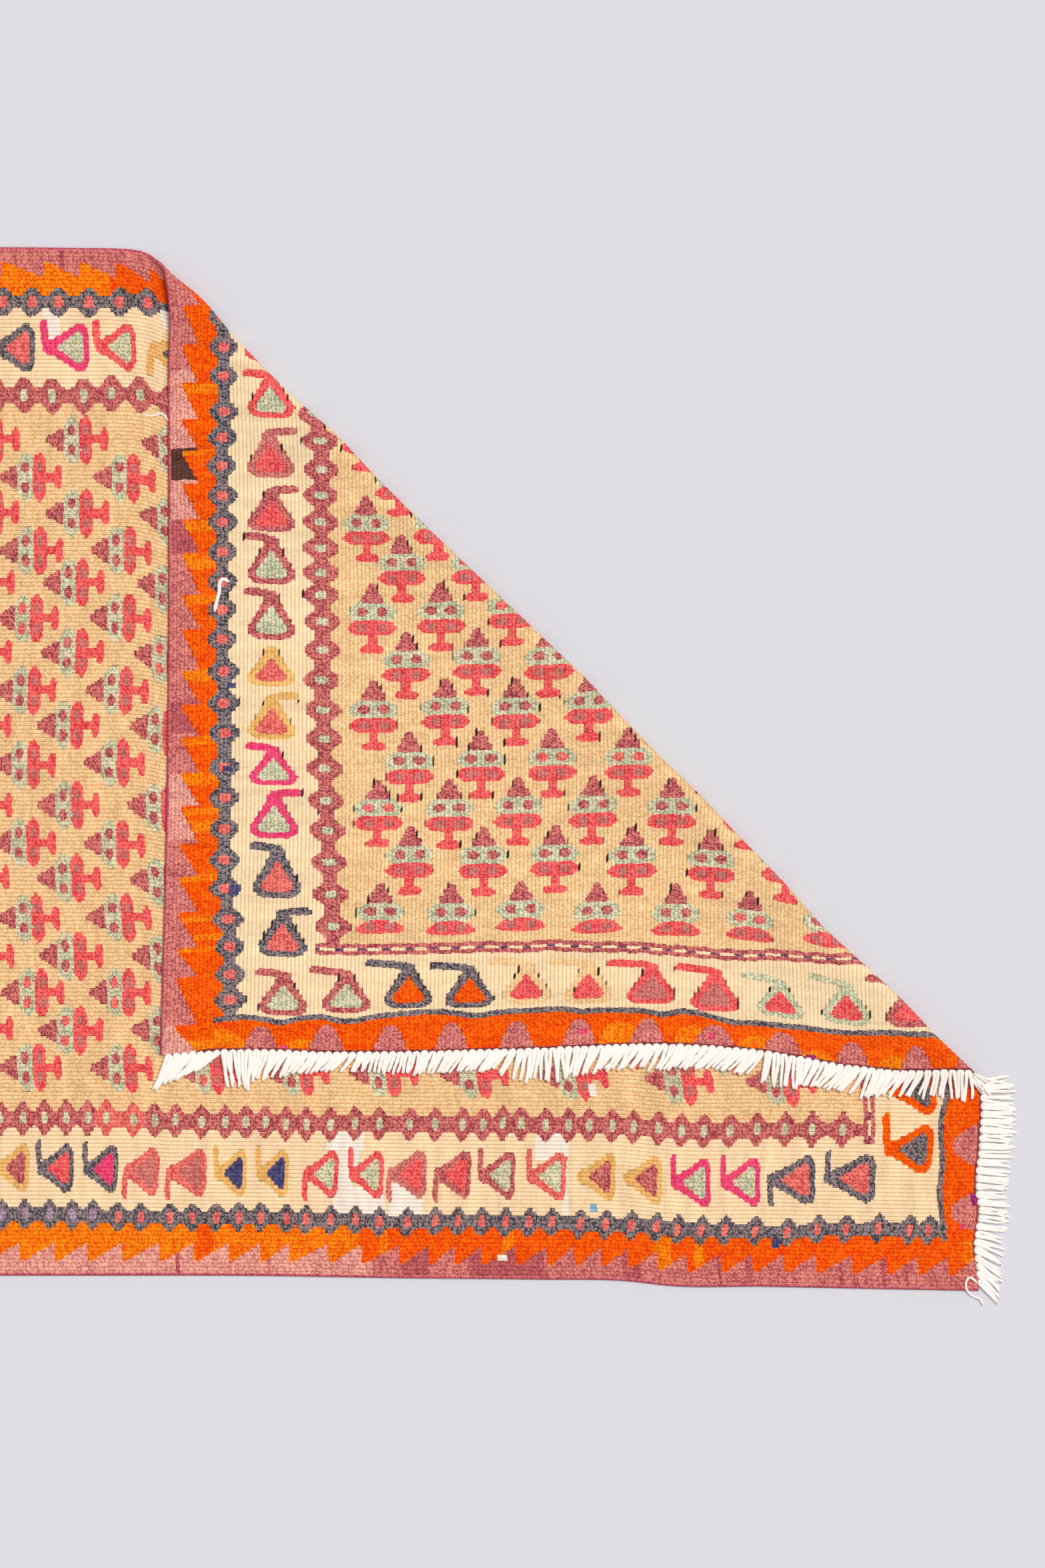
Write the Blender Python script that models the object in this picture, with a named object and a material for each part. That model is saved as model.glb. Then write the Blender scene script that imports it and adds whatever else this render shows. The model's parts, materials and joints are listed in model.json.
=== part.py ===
"""Flat-woven kilim rug, 0.95 m wide and 1.40 m long, lying with one corner folded over.

Plan sizes are measured on the unfolded rug: x runs along the warps and is 0 at the nominal
right end, y runs across them and is 0 at the nominal upper side, and both are negative on the
rug. The corner between the right end and the upper side is turned over along a 45 degree line.
Sizes are in metres, and the tables are in millimetres.
"""

import math

import bmesh
import bpy
import numpy as np
from mathutils import Vector

MM = 0.001
ROOT2 = math.sqrt(2.0)

# The woven cloth
RUG_LENGTH = 1.400
RUG_WIDTH = 0.950
CLOTH_THICKNESS = 0.0034
MIDDLE = CLOTH_THICKNESS / 2.0

# Edges of the unfolded cloth: (distance along the edge, how far the edge strays).
# The upper side strays inwards, the lower side outwards, and both ends to the right.
UPPER_SIDE = (
    (0.0, 6.5), (16.0, 7.0), (85.0, 8.9), (200.0, 12.0), (377.0, 14.4), (640.0, 14.4),
    (735.0, 14.2), (745.0, 13.0), (755.0, 9.3), (762.0, 5.8), (769.0, 3.2), (775.0, 1.8),
    (783.0, 0.7), (800.0, 0.0), (830.0, 0.0), (1400.0, 0.0),
)
LOWER_SIDE = (
    (0.0, 14.2), (90.0, 12.5), (200.0, 10.3), (285.0, 9.5), (320.0, 5.6), (412.0, 3.7),
    (530.0, 2.5), (650.0, 0.5), (905.0, 0.0), (1150.0, -1.0), (1400.0, 1.0),
)
RIGHT_END = (
    (0.0, -15.0), (64.0, -20.0), (182.0, -18.1), (336.0, -21.2), (497.0, -24.9),
    (570.0, -18.8), (639.0, -6.4), (684.0, -2.1), (757.0, -1.5), (787.0, 3.2), (834.0, 1.4),
    (872.0, -1.2), (887.0, 1.2), (922.0, -2.4), (961.0, 1.2),
)
LEFT_END = ((0.0, 0.0), (300.0, 3.0), (620.0, -2.5), (950.0, 1.5))

# The fold: a roll, a slope down and a soft landing on the cloth below
FOLD_LINE = -0.7624              # x + y on the line that mirrors the turned corner
ROLL_RADIUS = 0.0065             # of the cloth's middle
SLOPE_ANGLE = math.radians(9.0)
LANDING_RADIUS = 0.090
LAYER_GAP = 0.0008

# The roll's edge isn't straight: (distance along the fold, shift outwards)
FOLD_WAVE = (
    (0.0, -2.0), (14.0, -2.4), (54.0, 0.8), (100.0, -2.4), (193.0, -2.4), (229.0, -0.2),
    (281.0, -1.5), (386.0, -0.4), (455.0, 1.7), (525.0, 3.0), (560.0, 3.7), (610.0, 2.1),
    (665.0, 1.4), (700.0, 2.3), (760.0, 0.7), (810.0, 0.2), (874.0, -3.2), (920.0, -1.3),
    (979.0, 0.4), (1014.0, -0.6), (1066.0, 0.6),
)
FOLD_WAVE_START = -0.528         # (x - y) / ROOT2 where that distance is 0
FOLD_WAVE_REACH = 0.060          # how far from the roll the waves die out

# Mesh of the cloth: rows of points parallel to the fold
POINTS_IN_ROW = 27
ROW_SPACING = 0.036
ROLL_ROWS = 10
SLOPE_ROWS = 3
LANDING_ROWS = 2

# Fringe: flat strands on a narrow strip beside each end of the cloth
STRAND_PITCH = 0.0074
STRAND_ROOT_WIDTH = 0.0050
STRAND_MIDDLE_WIDTH = 0.0036
STRAND_TIP_WIDTH = 0.0022
STRAND_MIDDLE_THICKNESS = 0.0026
STRAND_TIP_THICKNESS = 0.0018
STRAND_MIDDLE_PLACE = 0.5        # share of the strand's length
STRAND_TIP_SPACING = 0.0034      # the least, along the cloth's end
STRAND_MIDDLE_DROP = 0.85        # share of the way down from the root that the middle reaches
STRIP_WIDTH = 0.0030
STRIP_THICKNESS = 0.0030
PIECE_GAP = 0.0005
END_CLEARANCE = 0.0020           # from the cloth's corners to the strip's ends

# How the strands lie: (distance from the upper side, lean towards the lower side in degrees,
# length)
RIGHT_STRANDS = (
    (0.0, -20.0, 32.0), (12.0, -22.0, 34.0), (37.0, -35.0, 34.0), (61.0, -50.0, 31.0),
    (66.0, 10.0, 34.0), (76.0, 9.0, 34.0), (88.0, -7.0, 36.0), (105.0, -14.0, 28.0),
    (130.0, -30.0, 27.0), (176.0, -38.0, 21.0), (204.0, -16.0, 18.0), (234.0, -10.0, 22.0),
    (265.0, -24.0, 22.0), (327.0, -34.0, 24.0), (343.0, -9.0, 30.0), (375.0, 3.0, 32.0),
    (395.0, -14.0, 28.0), (438.0, -33.0, 27.0), (469.0, -24.0, 26.0), (531.0, -42.0, 26.0),
    (561.0, -38.0, 28.0), (570.0, -8.0, 30.0), (590.0, -2.0, 30.0), (617.0, -25.0, 25.0),
    (640.0, -40.0, 28.0), (668.0, -18.0, 30.0), (690.0, -33.0, 28.0), (716.0, -20.0, 27.0),
    (729.0, -8.0, 25.0), (739.0, 0.0, 26.0), (750.0, 6.0, 29.0), (764.0, -28.0, 31.0),
    (771.0, -14.0, 31.0), (779.0, -3.0, 31.0), (788.0, 4.0, 30.0), (815.0, 3.0, 32.0),
    (834.0, 2.0, 32.0), (850.0, 8.0, 29.0), (875.0, 5.0, 29.0), (906.0, 6.0, 28.0),
    (920.0, 17.0, 27.0), (932.0, 30.0, 28.0), (945.0, 36.0, 28.0), (955.0, 44.0, 27.0),
    (964.0, 56.0, 23.0),
)
LEFT_STRANDS = (
    (0.0, -14.0, 27.0), (90.0, 6.0, 30.0), (210.0, -12.0, 29.0), (330.0, 4.0, 31.0),
    (480.0, 14.0, 28.0), (590.0, -5.0, 30.0), (720.0, 9.0, 31.0), (840.0, -8.0, 29.0),
    (950.0, 16.0, 27.0),
)
FLAP_SHARE_OF_ROLL = 0.36        # share of the roll's half turn where the flap's fringe begins

# Materials: red, green, blue, roughness
WOOL = (0.62, 0.20, 0.11, 0.90)
COTTON = (0.88, 0.82, 0.74, 0.85)

# Lengths and places in the fold's section, worked out from the sizes above
ROLL_LENGTH = ROLL_RADIUS * (math.pi + SLOPE_ANGLE)
LANDING_LENGTH = LANDING_RADIUS * SLOPE_ANGLE
ROLL_DROP = ROLL_RADIUS * (1.0 + math.cos(SLOPE_ANGLE)) - CLOTH_THICKNESS - LAYER_GAP
LANDING_DROP = LANDING_RADIUS * (1.0 - math.cos(SLOPE_ANGLE))
SLOPE_LENGTH = (ROLL_DROP - LANDING_DROP) / math.sin(SLOPE_ANGLE)
FOLD_LENGTH = ROLL_LENGTH + SLOPE_LENGTH + LANDING_LENGTH
FOLD_REACH = -((ROLL_RADIUS + LANDING_RADIUS) * math.sin(SLOPE_ANGLE)
               + SLOPE_LENGTH * math.cos(SLOPE_ANGLE))
ROLL_START = FOLD_LINE / ROOT2 - (FOLD_LENGTH + FOLD_REACH) / 2.0
ROLL_EDGE = ROLL_RADIUS + MIDDLE

# Settling of a point on an edge, and lengths that count as nothing
MEETING_STEPS = 20
SAME_PLACE = 1e-9
SHORT_STEP = 0.001


def smooth(rows, at):
    """Value of a two-column table at a place, on a smooth curve through its rows."""
    places, values = np.array(rows).T
    slopes = np.gradient(values, places)
    row = np.clip(np.searchsorted(places, at) - 1, 0, len(places) - 2)
    step = places[row + 1] - places[row]
    part = np.clip((at - places[row]) / step, 0.0, 1.0)
    rest = 1.0 - part
    start = (1.0 + 2.0 * part) * values[row] + part * step * slopes[row]
    end = (1.0 + 2.0 * rest) * values[row + 1] - rest * step * slopes[row + 1]
    return rest ** 2 * start + part ** 2 * end


def upper_y(x):
    return -smooth(UPPER_SIDE, -x / MM) * MM


def lower_y(x):
    return -RUG_WIDTH - smooth(LOWER_SIDE, -x / MM) * MM


def right_x(y):
    return smooth(RIGHT_END, -y / MM) * MM


def left_x(y):
    return -RUG_LENGTH + smooth(LEFT_END, -y / MM) * MM


def fold_section(run):
    """Reach, height and slope of the cloth's middle at a run past the line where it lifts."""
    turn = np.clip(run / ROLL_RADIUS, 0.0, math.pi + SLOPE_ANGLE)
    slide = np.clip(run - ROLL_LENGTH, 0.0, SLOPE_LENGTH)
    landing = np.clip((run - ROLL_LENGTH - SLOPE_LENGTH) / LANDING_RADIUS, 0.0, SLOPE_ANGLE)
    left = SLOPE_ANGLE - landing
    reach = np.minimum(run, 0.0) - np.maximum(run - FOLD_LENGTH, 0.0)
    reach = reach + ROLL_RADIUS * np.sin(turn) - slide * math.cos(SLOPE_ANGLE)
    reach = reach - LANDING_RADIUS * (math.sin(SLOPE_ANGLE) - np.sin(left))
    height = MIDDLE + ROLL_RADIUS * (1.0 - np.cos(turn)) - slide * math.sin(SLOPE_ANGLE)
    height = height - LANDING_RADIUS * (np.cos(left) - math.cos(SLOPE_ANGLE))
    return reach, height, turn - landing


def folded(x, y, lift):
    """Where a plan point lies once the corner is turned, at a lift above the cloth's middle."""
    across = (x + y) / ROOT2
    along = (x - y) / ROOT2
    reach, height, slope = fold_section(across - ROLL_START)
    reach = reach - lift * np.sin(slope)
    wave = smooth(FOLD_WAVE, (along - FOLD_WAVE_START) / MM) * MM
    reach = reach + wave * np.exp(-((reach - ROLL_EDGE) / FOLD_WAVE_REACH) ** 2)
    moved = ROLL_START + reach
    place = (moved + along) / ROOT2, (moved - along) / ROOT2, height + lift * np.cos(slope)
    return np.array(place).T


def point_on_side(total, side_y):
    """Plan point of a side where x + y is the total."""
    y = side_y(total)
    for _ in range(MEETING_STEPS):
        y = side_y(total - y)
    return total - y, y


def point_on_end(total, end_x):
    """Plan point of an end where x + y is the total."""
    x = end_x(total)
    for _ in range(MEETING_STEPS):
        x = end_x(total - x)
    return x, total - x


def corner(end_x, side_y):
    """Plan point where an end meets a side."""
    x = end_x(0.0)
    for _ in range(MEETING_STEPS):
        x = end_x(side_y(x))
    return x, side_y(x)


def row_totals():
    """x + y of each row of the cloth's mesh, from the lower left corner to the turned corner."""
    roll = ROLL_START
    slope = roll + ROLL_LENGTH
    landing = slope + SLOPE_LENGTH
    flap = roll + FOLD_LENGTH
    stops = [
        (sum(corner(left_x, lower_y)), None),
        (sum(corner(left_x, upper_y)), None),
        (sum(corner(right_x, lower_y)), None),
        (roll * ROOT2, None),
        (slope * ROOT2, ROLL_ROWS),
        (landing * ROOT2, SLOPE_ROWS),
        (flap * ROOT2, LANDING_ROWS),
        (sum(corner(right_x, upper_y)), None),
    ]
    totals = [stops[0][0]]
    for (start, _), (stop, rows) in zip(stops, stops[1:]):
        count = rows or math.ceil((stop - start) / ROOT2 / ROW_SPACING)
        totals.extend(np.linspace(start, stop, count + 1)[1:])
    return totals


def cloth_rows():
    """Plan points of the cloth's rows, from the upper left outline to the lower right one."""
    upper_left = sum(corner(left_x, upper_y))
    lower_right = sum(corner(right_x, lower_y))
    rows = []
    for total in row_totals():
        start = point_on_side(total, upper_y)
        if total < upper_left:
            start = point_on_end(total, left_x)
        stop = point_on_end(total, right_x)
        if total < lower_right:
            stop = point_on_side(total, lower_y)
        rows.append(np.linspace(start, stop, POINTS_IN_ROW))
    return rows


def end_outline(rows, end):
    """Plan points of the mesh along one end of the cloth, from the upper side down."""
    upper = corner(left_x if end == "left" else right_x, upper_y)
    lower = corner(left_x if end == "left" else right_x, lower_y)
    points = [row[0] if end == "left" else row[-1] for row in rows]
    total_low, total_high = sorted((sum(upper), sum(lower)))
    total_low -= SAME_PLACE
    total_high += SAME_PLACE
    inside = [p for p in points if total_low <= p[0] + p[1] <= total_high]
    return np.array(sorted(inside, key=lambda p: -p[1]))


def add_object(name, points, faces, material):
    """Make a closed body from points and faces and put it in the scene."""
    mesh = bpy.data.meshes.new(name)
    mesh.from_pydata([tuple(point) for point in points], [], faces)
    mesh.materials.append(material)
    shape = bmesh.new()
    shape.from_mesh(mesh)
    bmesh.ops.recalc_face_normals(shape, faces=shape.faces)
    if shape.calc_volume(signed=True) < 0.0:
        bmesh.ops.reverse_faces(shape, faces=shape.faces)
    shape.to_mesh(mesh)
    shape.free()
    body = bpy.data.objects.new(name, mesh)
    bpy.context.scene.collection.objects.link(body)
    return body


def make_cloth(rows, material):
    """The woven cloth: an upper and a lower sheet of rows, joined round the outline."""
    # The first and the last row are single points, at the two corners that face the fold
    points = []
    sheets = []
    for lift in (MIDDLE, -MIDDLE):
        sheet = []
        for number, row in enumerate(rows):
            used = row[:1] if number in (0, len(rows) - 1) else row
            placed = folded(used[:, 0], used[:, 1], lift)
            first = len(points)
            points.extend(placed)
            ids = list(range(first, first + len(used)))
            sheet.append(ids if len(ids) > 1 else ids * POINTS_IN_ROW)
        sheets.append(sheet)
    faces = []
    for sheet in sheets:
        for near, far in zip(sheet, sheet[1:]):
            for i in range(POINTS_IN_ROW - 1):
                corners = (near[i], near[i + 1], far[i + 1], far[i])
                faces.append(tuple(dict.fromkeys(corners)))
    for side in (0, -1):
        edges = [[row[side] for row in sheet] for sheet in sheets]
        for i in range(len(rows) - 1):
            faces.append((edges[0][i], edges[0][i + 1], edges[1][i + 1], edges[1][i]))
    return add_object("rug", points, faces, material)


def strand_tips(strands, places):
    """How far each strand's tip lies out from the cloth and down along its end, unfolded."""
    distance, lean, length = np.array(strands).T
    lean = np.radians(np.interp(-places / MM, distance, lean))
    length = np.interp(-places / MM, distance, length) * MM
    down = -places + length * np.sin(lean)
    steps = STRAND_TIP_SPACING * np.arange(len(places))
    pushed_on = np.maximum.accumulate(down - steps) + steps
    pushed_back = np.minimum.accumulate((down - steps)[::-1])[::-1] + steps
    return length * np.cos(lean), (pushed_on + pushed_back) / 2.0 + places


def strand_direction(x, y, out, down):
    """Level direction in which a strand leaves the cloth's end, after the fold."""
    start = folded(x, y, 0.0)
    stop = folded(x + SHORT_STEP * out, y - SHORT_STEP * down, 0.0)
    direction = Vector(stop - start)
    direction.z = 0.0
    return direction.normalized()


def strand_section(centre, direction, root, size, bottom):
    """Corners of a level section of a strand, in the order of the root's corners."""
    width, thickness = size
    side = Vector((direction.y, -direction.x, 0.0)) * (width / 2.0)
    if side.dot(root[3] - root[0]) < 0.0:
        side = -side
    low = Vector((centre.x, centre.y, bottom))
    high = low + Vector((0.0, 0.0, thickness))
    if root[0].z > root[1].z:
        low, high = high, low
    return [low - side, high - side, high + side, low + side]


def strip_places(upper, lower):
    """Places along the cloth's end where the strip has a section, and each strand's first one."""
    count = int((upper - lower) / STRAND_PITCH)
    margin = (upper - lower - count * STRAND_PITCH) / 2.0
    first = upper - margin
    places, roots = [first], []
    for number in range(count):
        middle = first - (number + 0.5) * STRAND_PITCH
        roots.append(len(places))
        places.append(middle + STRAND_ROOT_WIDTH / 2.0)
        places.append(middle - STRAND_ROOT_WIDTH / 2.0)
    places.append(first - count * STRAND_PITCH)
    return np.array(places), np.array(roots)


def make_strip(inner, outer, places, roots):
    """Points and faces of the strip, left open where a strand leaves it."""
    high = STRIP_THICKNESS - MIDDLE
    sections = np.stack([
        folded(inner, places, -MIDDLE), folded(inner, places, high),
        folded(outer, places, high), folded(outer, places, -MIDDLE),
    ], axis=1)
    points = [Vector(point) for section in sections for point in section]
    faces = [(0, 1, 2, 3), tuple(len(points) - i for i in (1, 2, 3, 4))]
    for number in range(len(places) - 1):
        near, far = 4 * number, 4 * number + 4
        for i in (0, 1, 3) if number in roots else (0, 1, 2, 3):
            j = (i + 1) % 4
            faces.append((near + i, near + j, far + j, far + i))
    return points, faces


def add_strand(points, faces, first, direction, length, rest):
    """A strand from the opening after a section of the strip, down to the height it rests at."""
    near, far = 4 * first, 4 * first + 4
    ring = [near + 3, near + 2, far + 2, far + 3]
    root = [points[i] for i in ring]
    centre = sum(root, Vector()) / 4.0
    root_bottom = min(point.z for point in root)
    middle_bottom = root_bottom + (rest - root_bottom) * STRAND_MIDDLE_DROP
    sections = (
        (STRAND_MIDDLE_PLACE, (STRAND_MIDDLE_WIDTH, STRAND_MIDDLE_THICKNESS), middle_bottom),
        (1.0, (STRAND_TIP_WIDTH, STRAND_TIP_THICKNESS), rest),
    )
    for share, size, bottom in sections:
        new_ring = list(range(len(points), len(points) + 4))
        middle = centre + direction * length * share
        points.extend(strand_section(middle, direction, root, size, bottom))
        for i in range(4):
            j = (i + 1) % 4
            faces.append((ring[i], ring[j], new_ring[j], new_ring[i]))
        ring = new_ring
    faces.append(tuple(ring))


def make_fringe(name, outline, span, strands, rest, material):
    """A strip beside the cloth's end with a strand on each pitch, fused at its root."""
    outward = 1.0 if outline[0][0] > -RUG_LENGTH / 2.0 else -1.0
    places, roots = strip_places(*span)
    edge = np.interp(-places, -outline[:, 1], outline[:, 0])
    inner = edge + outward * PIECE_GAP
    outer = inner + outward * STRIP_WIDTH
    points, faces = make_strip(inner, outer, places, roots)
    middles = (places[roots] + places[roots + 1]) / 2.0
    for first, place, out, down in zip(roots, middles, *strand_tips(strands, middles)):
        direction = strand_direction(outer[first], place, outward * out, down)
        add_strand(points, faces, int(first), direction, math.hypot(out, down), rest)
    return add_object(name, points, faces, material)


def make_material(name, colour):
    material = bpy.data.materials.new(name)
    material.use_nodes = True
    shader = material.node_tree.nodes["Principled BSDF"]
    shader.inputs["Base Color"].default_value = (*colour[:3], 1.0)
    shader.inputs["Roughness"].default_value = colour[3]
    return material


def centre_on_floor(bodies):
    """Move the model so that the middle of its box stands on the origin."""
    points = np.array([point.co for body in bodies for point in body.data.vertices])
    low, high = points.min(axis=0), points.max(axis=0)
    shift = Vector((-(low[0] + high[0]) / 2.0, -(low[1] + high[1]) / 2.0, 0.0))
    for body in bodies:
        for point in body.data.vertices:
            point.co += shift


def main():
    for old in list(bpy.data.objects):
        bpy.data.objects.remove(old, do_unlink=True)
    wool = make_material("wool", WOOL)
    cotton = make_material("cotton", COTTON)
    rows = cloth_rows()
    right = end_outline(rows, "right")
    left = end_outline(rows, "left")
    split_total = (ROLL_START + ROLL_RADIUS * math.pi * FLAP_SHARE_OF_ROLL) * ROOT2
    split = point_on_end(split_total, right_x)[1]
    cloth_top = CLOTH_THICKNESS + PIECE_GAP
    right_upper = right[0][1] - END_CLEARANCE
    right_lower = right[-1][1] + END_CLEARANCE
    left_span = (left[0][1] - END_CLEARANCE, left[-1][1] + END_CLEARANCE)
    bodies = [
        make_cloth(rows, wool),
        make_fringe("fringe_flap", right, (right_upper, split + PIECE_GAP), RIGHT_STRANDS,
                    cloth_top, cotton),
        make_fringe("fringe_end", right, (split - PIECE_GAP, right_lower), RIGHT_STRANDS,
                    0.0, cotton),
        make_fringe("fringe_far", left, left_span, LEFT_STRANDS, 0.0, cotton),
    ]
    centre_on_floor(bodies)


main()
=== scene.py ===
"""Looks of the kilim rug: its weave, its fringes and the loose yarn on it.

The cloth's plan and its fold are the frame's own: x runs along the warps and is 0 at the nominal
right end, y runs across them and is 0 at the nominal upper side. The pattern is woven pick by
pick from tables whose places are distances from the right end in mm and ribs counted from the
upper side. Sizes are in metres unless a name or a table says otherwise.
"""

import json
import math

import bpy
import numpy as np
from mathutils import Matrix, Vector

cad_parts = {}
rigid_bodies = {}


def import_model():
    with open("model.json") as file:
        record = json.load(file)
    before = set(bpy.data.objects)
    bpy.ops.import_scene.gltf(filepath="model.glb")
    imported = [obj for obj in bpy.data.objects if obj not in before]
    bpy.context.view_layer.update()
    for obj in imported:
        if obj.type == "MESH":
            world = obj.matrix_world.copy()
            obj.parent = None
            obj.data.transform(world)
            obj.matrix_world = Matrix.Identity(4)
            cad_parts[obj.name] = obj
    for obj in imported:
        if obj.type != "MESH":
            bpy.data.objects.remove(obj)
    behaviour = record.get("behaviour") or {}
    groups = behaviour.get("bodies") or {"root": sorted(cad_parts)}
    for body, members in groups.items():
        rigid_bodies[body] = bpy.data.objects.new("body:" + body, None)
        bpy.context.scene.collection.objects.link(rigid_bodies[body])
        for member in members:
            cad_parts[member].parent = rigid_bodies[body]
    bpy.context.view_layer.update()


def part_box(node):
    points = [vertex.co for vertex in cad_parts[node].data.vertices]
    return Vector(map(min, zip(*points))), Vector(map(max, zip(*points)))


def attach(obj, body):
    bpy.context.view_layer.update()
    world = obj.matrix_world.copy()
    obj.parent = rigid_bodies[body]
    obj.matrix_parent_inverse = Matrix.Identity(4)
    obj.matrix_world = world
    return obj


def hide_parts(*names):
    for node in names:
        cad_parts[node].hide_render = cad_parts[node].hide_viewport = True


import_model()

MM = 0.001
ROOT2 = math.sqrt(2.0)

# The woven cloth
RUG_LENGTH = 1.400
RUG_WIDTH = 0.950
CLOTH_THICKNESS = 0.0034
MIDDLE = CLOTH_THICKNESS / 2.0
LENGTH_MM = round(RUG_LENGTH / MM)

# Edges of the unfolded cloth: (mm along the edge, mm by which the edge strays).
# The upper side strays inwards, the lower side outwards, and both ends to the right.
UPPER_SIDE = (
    (0, 6.5), (16, 7), (85, 8.9), (200, 12), (377, 14.4), (640, 14.4), (735, 14.2), (745, 13), (755, 9.3),
    (762, 5.8), (769, 3.2), (775, 1.8), (783, 0.7), (800, 0), (830, 0), (1400, 0),
)
LOWER_SIDE = (
    (0, 14.2), (90, 12.5), (200, 10.3), (285, 9.5), (320, 5.6), (412, 3.7), (530, 2.5), (650, 0.5),
    (905, 0), (1150, -1), (1400, 1),
)
RIGHT_END = (
    (0, -15), (64, -20), (182, -18.1), (336, -21.2), (497, -24.9), (570, -18.8), (639, -6.4), (684, -2.1),
    (757, -1.5), (787, 3.2), (834, 1.4), (872, -1.2), (887, 1.2), (922, -2.4), (961, 1.2),
)
LEFT_END = (
    (0, 0), (300, 3), (620, -2.5), (950, 1.5),
)

# The fold: a roll, a slope down and a soft landing on the cloth below
FOLD_LINE = -0.7624  # x + y on the line that mirrors the turned corner
ROLL_RADIUS = 0.0065  # of the cloth's middle
SLOPE_ANGLE = math.radians(9.0)
LANDING_RADIUS = 0.090
LAYER_GAP = 0.0008

# The roll's edge isn't straight: (mm along the fold, mm outwards)
FOLD_WAVE = (
    (0, -2), (14, -2.4), (54, 0.8), (100, -2.4), (193, -2.4), (229, -0.2), (281, -1.5), (386, -0.4),
    (455, 1.7), (525, 3), (560, 3.7), (610, 2.1), (665, 1.4), (700, 2.3), (760, 0.7), (810, 0.2),
    (874, -3.2), (920, -1.3), (979, 0.4), (1014, -0.6), (1066, 0.6),
)
FOLD_WAVE_START = -0.528  # (x - y) / ROOT2 where that distance is 0
FOLD_WAVE_REACH = 0.060  # how far from the roll the waves die out

# Lengths and places in the fold's section, worked out from the sizes above
ROLL_LENGTH = ROLL_RADIUS * (math.pi + SLOPE_ANGLE)
LANDING_LENGTH = LANDING_RADIUS * SLOPE_ANGLE
ROLL_DROP = ROLL_RADIUS * (1.0 + math.cos(SLOPE_ANGLE)) - CLOTH_THICKNESS - LAYER_GAP
LANDING_DROP = LANDING_RADIUS * (1.0 - math.cos(SLOPE_ANGLE))
SLOPE_LENGTH = (ROLL_DROP - LANDING_DROP) / math.sin(SLOPE_ANGLE)
FOLD_LENGTH = ROLL_LENGTH + SLOPE_LENGTH + LANDING_LENGTH
FOLD_REACH = -((ROLL_RADIUS + LANDING_RADIUS) * math.sin(SLOPE_ANGLE)
               + SLOPE_LENGTH * math.cos(SLOPE_ANGLE))
ROLL_START = FOLD_LINE / ROOT2 - (FOLD_LENGTH + FOLD_REACH) / 2.0
ROLL_EDGE = ROLL_RADIUS + MIDDLE

# Colours as they look in the photo's light: (darker beads, lighter beads), the lighter tone partly the
# yarn's own and partly painted highlight
PALETTE = {
    "cream": ((241, 210, 166), (254, 229, 187)), "tan": ((225, 180, 127), (252, 217, 164)),
    "red": ((218, 56, 69), (253, 120, 114)), "burgundy": ((150, 56, 70), (224, 132, 124)),
    "mauve": ((172, 80, 87), (231, 143, 131)), "salmon": ((200, 116, 112), (247, 182, 164)),
    "plum": ((156, 64, 74), (202, 108, 110)), "orange": ((232, 54, 0), (254, 112, 8)),
    "amber": ((237, 78, 2), (255, 152, 18)), "slate": ((56, 54, 68), (154, 140, 140)),
    "sage": ((160, 164, 134), (231, 226, 190)), "ochre": ((219, 162, 86), (247, 200, 126)),
    "magenta": ((222, 48, 100), (248, 90, 134)), "navy": ((48, 54, 108), (96, 90, 128)),
    "brown": ((76, 46, 40), (102, 68, 60)), "coral": ((204, 74, 74), (251, 138, 126)),
    "lilac": ((140, 112, 134), (188, 164, 190)), "white": ((240, 228, 214), (250, 242, 230)),
    "wine": ((112, 44, 50), (160, 76, 74)), "sky": ((120, 165, 205), (150, 190, 220)),
    "dusk": ((180, 88, 88), (216, 134, 126)), "purple": ((120, 30, 90), (186, 62, 132)),
    "rose": ((184, 74, 92), (226, 126, 136)),
}
YARN = {name: number for number, name in enumerate(PALETTE)}
GROUNDS = (YARN["cream"], YARN["tan"])

# The photo: its pixels, the plan's origin in it and its scale
PHOTO_SIZE = (1568.0, 2352.0)
PHOTO_ORIGIN = (1466.0, 372.0)
PHOTO_SCALE = 0.000617  # metres a pixel


# ---- the cloth's plan and fold

def table(rows, at):
    """Value of a two-column table at a place, on straight lines through its rows."""
    return np.interp(at, *np.array(rows).T)


def smooth(rows, at):
    """Value of a two-column table at a place, on a smooth curve through its rows."""
    places, values = np.array(rows).T
    slopes = np.gradient(values, places)
    row = np.clip(np.searchsorted(places, at) - 1, 0, len(places) - 2)
    step = places[row + 1] - places[row]
    part = np.clip((at - places[row]) / step, 0.0, 1.0)
    rest = 1.0 - part
    start = (1.0 + 2.0 * part) * values[row] + part * step * slopes[row]
    end = (1.0 + 2.0 * rest) * values[row + 1] - rest * step * slopes[row + 1]
    return rest ** 2 * start + part ** 2 * end


def upper_y(x):
    return -smooth(UPPER_SIDE, -x / MM) * MM


def lower_y(x):
    return -RUG_WIDTH - smooth(LOWER_SIDE, -x / MM) * MM


def right_x(y):
    return smooth(RIGHT_END, -y / MM) * MM


def left_x(y):
    return -RUG_LENGTH + smooth(LEFT_END, -y / MM) * MM


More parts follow.
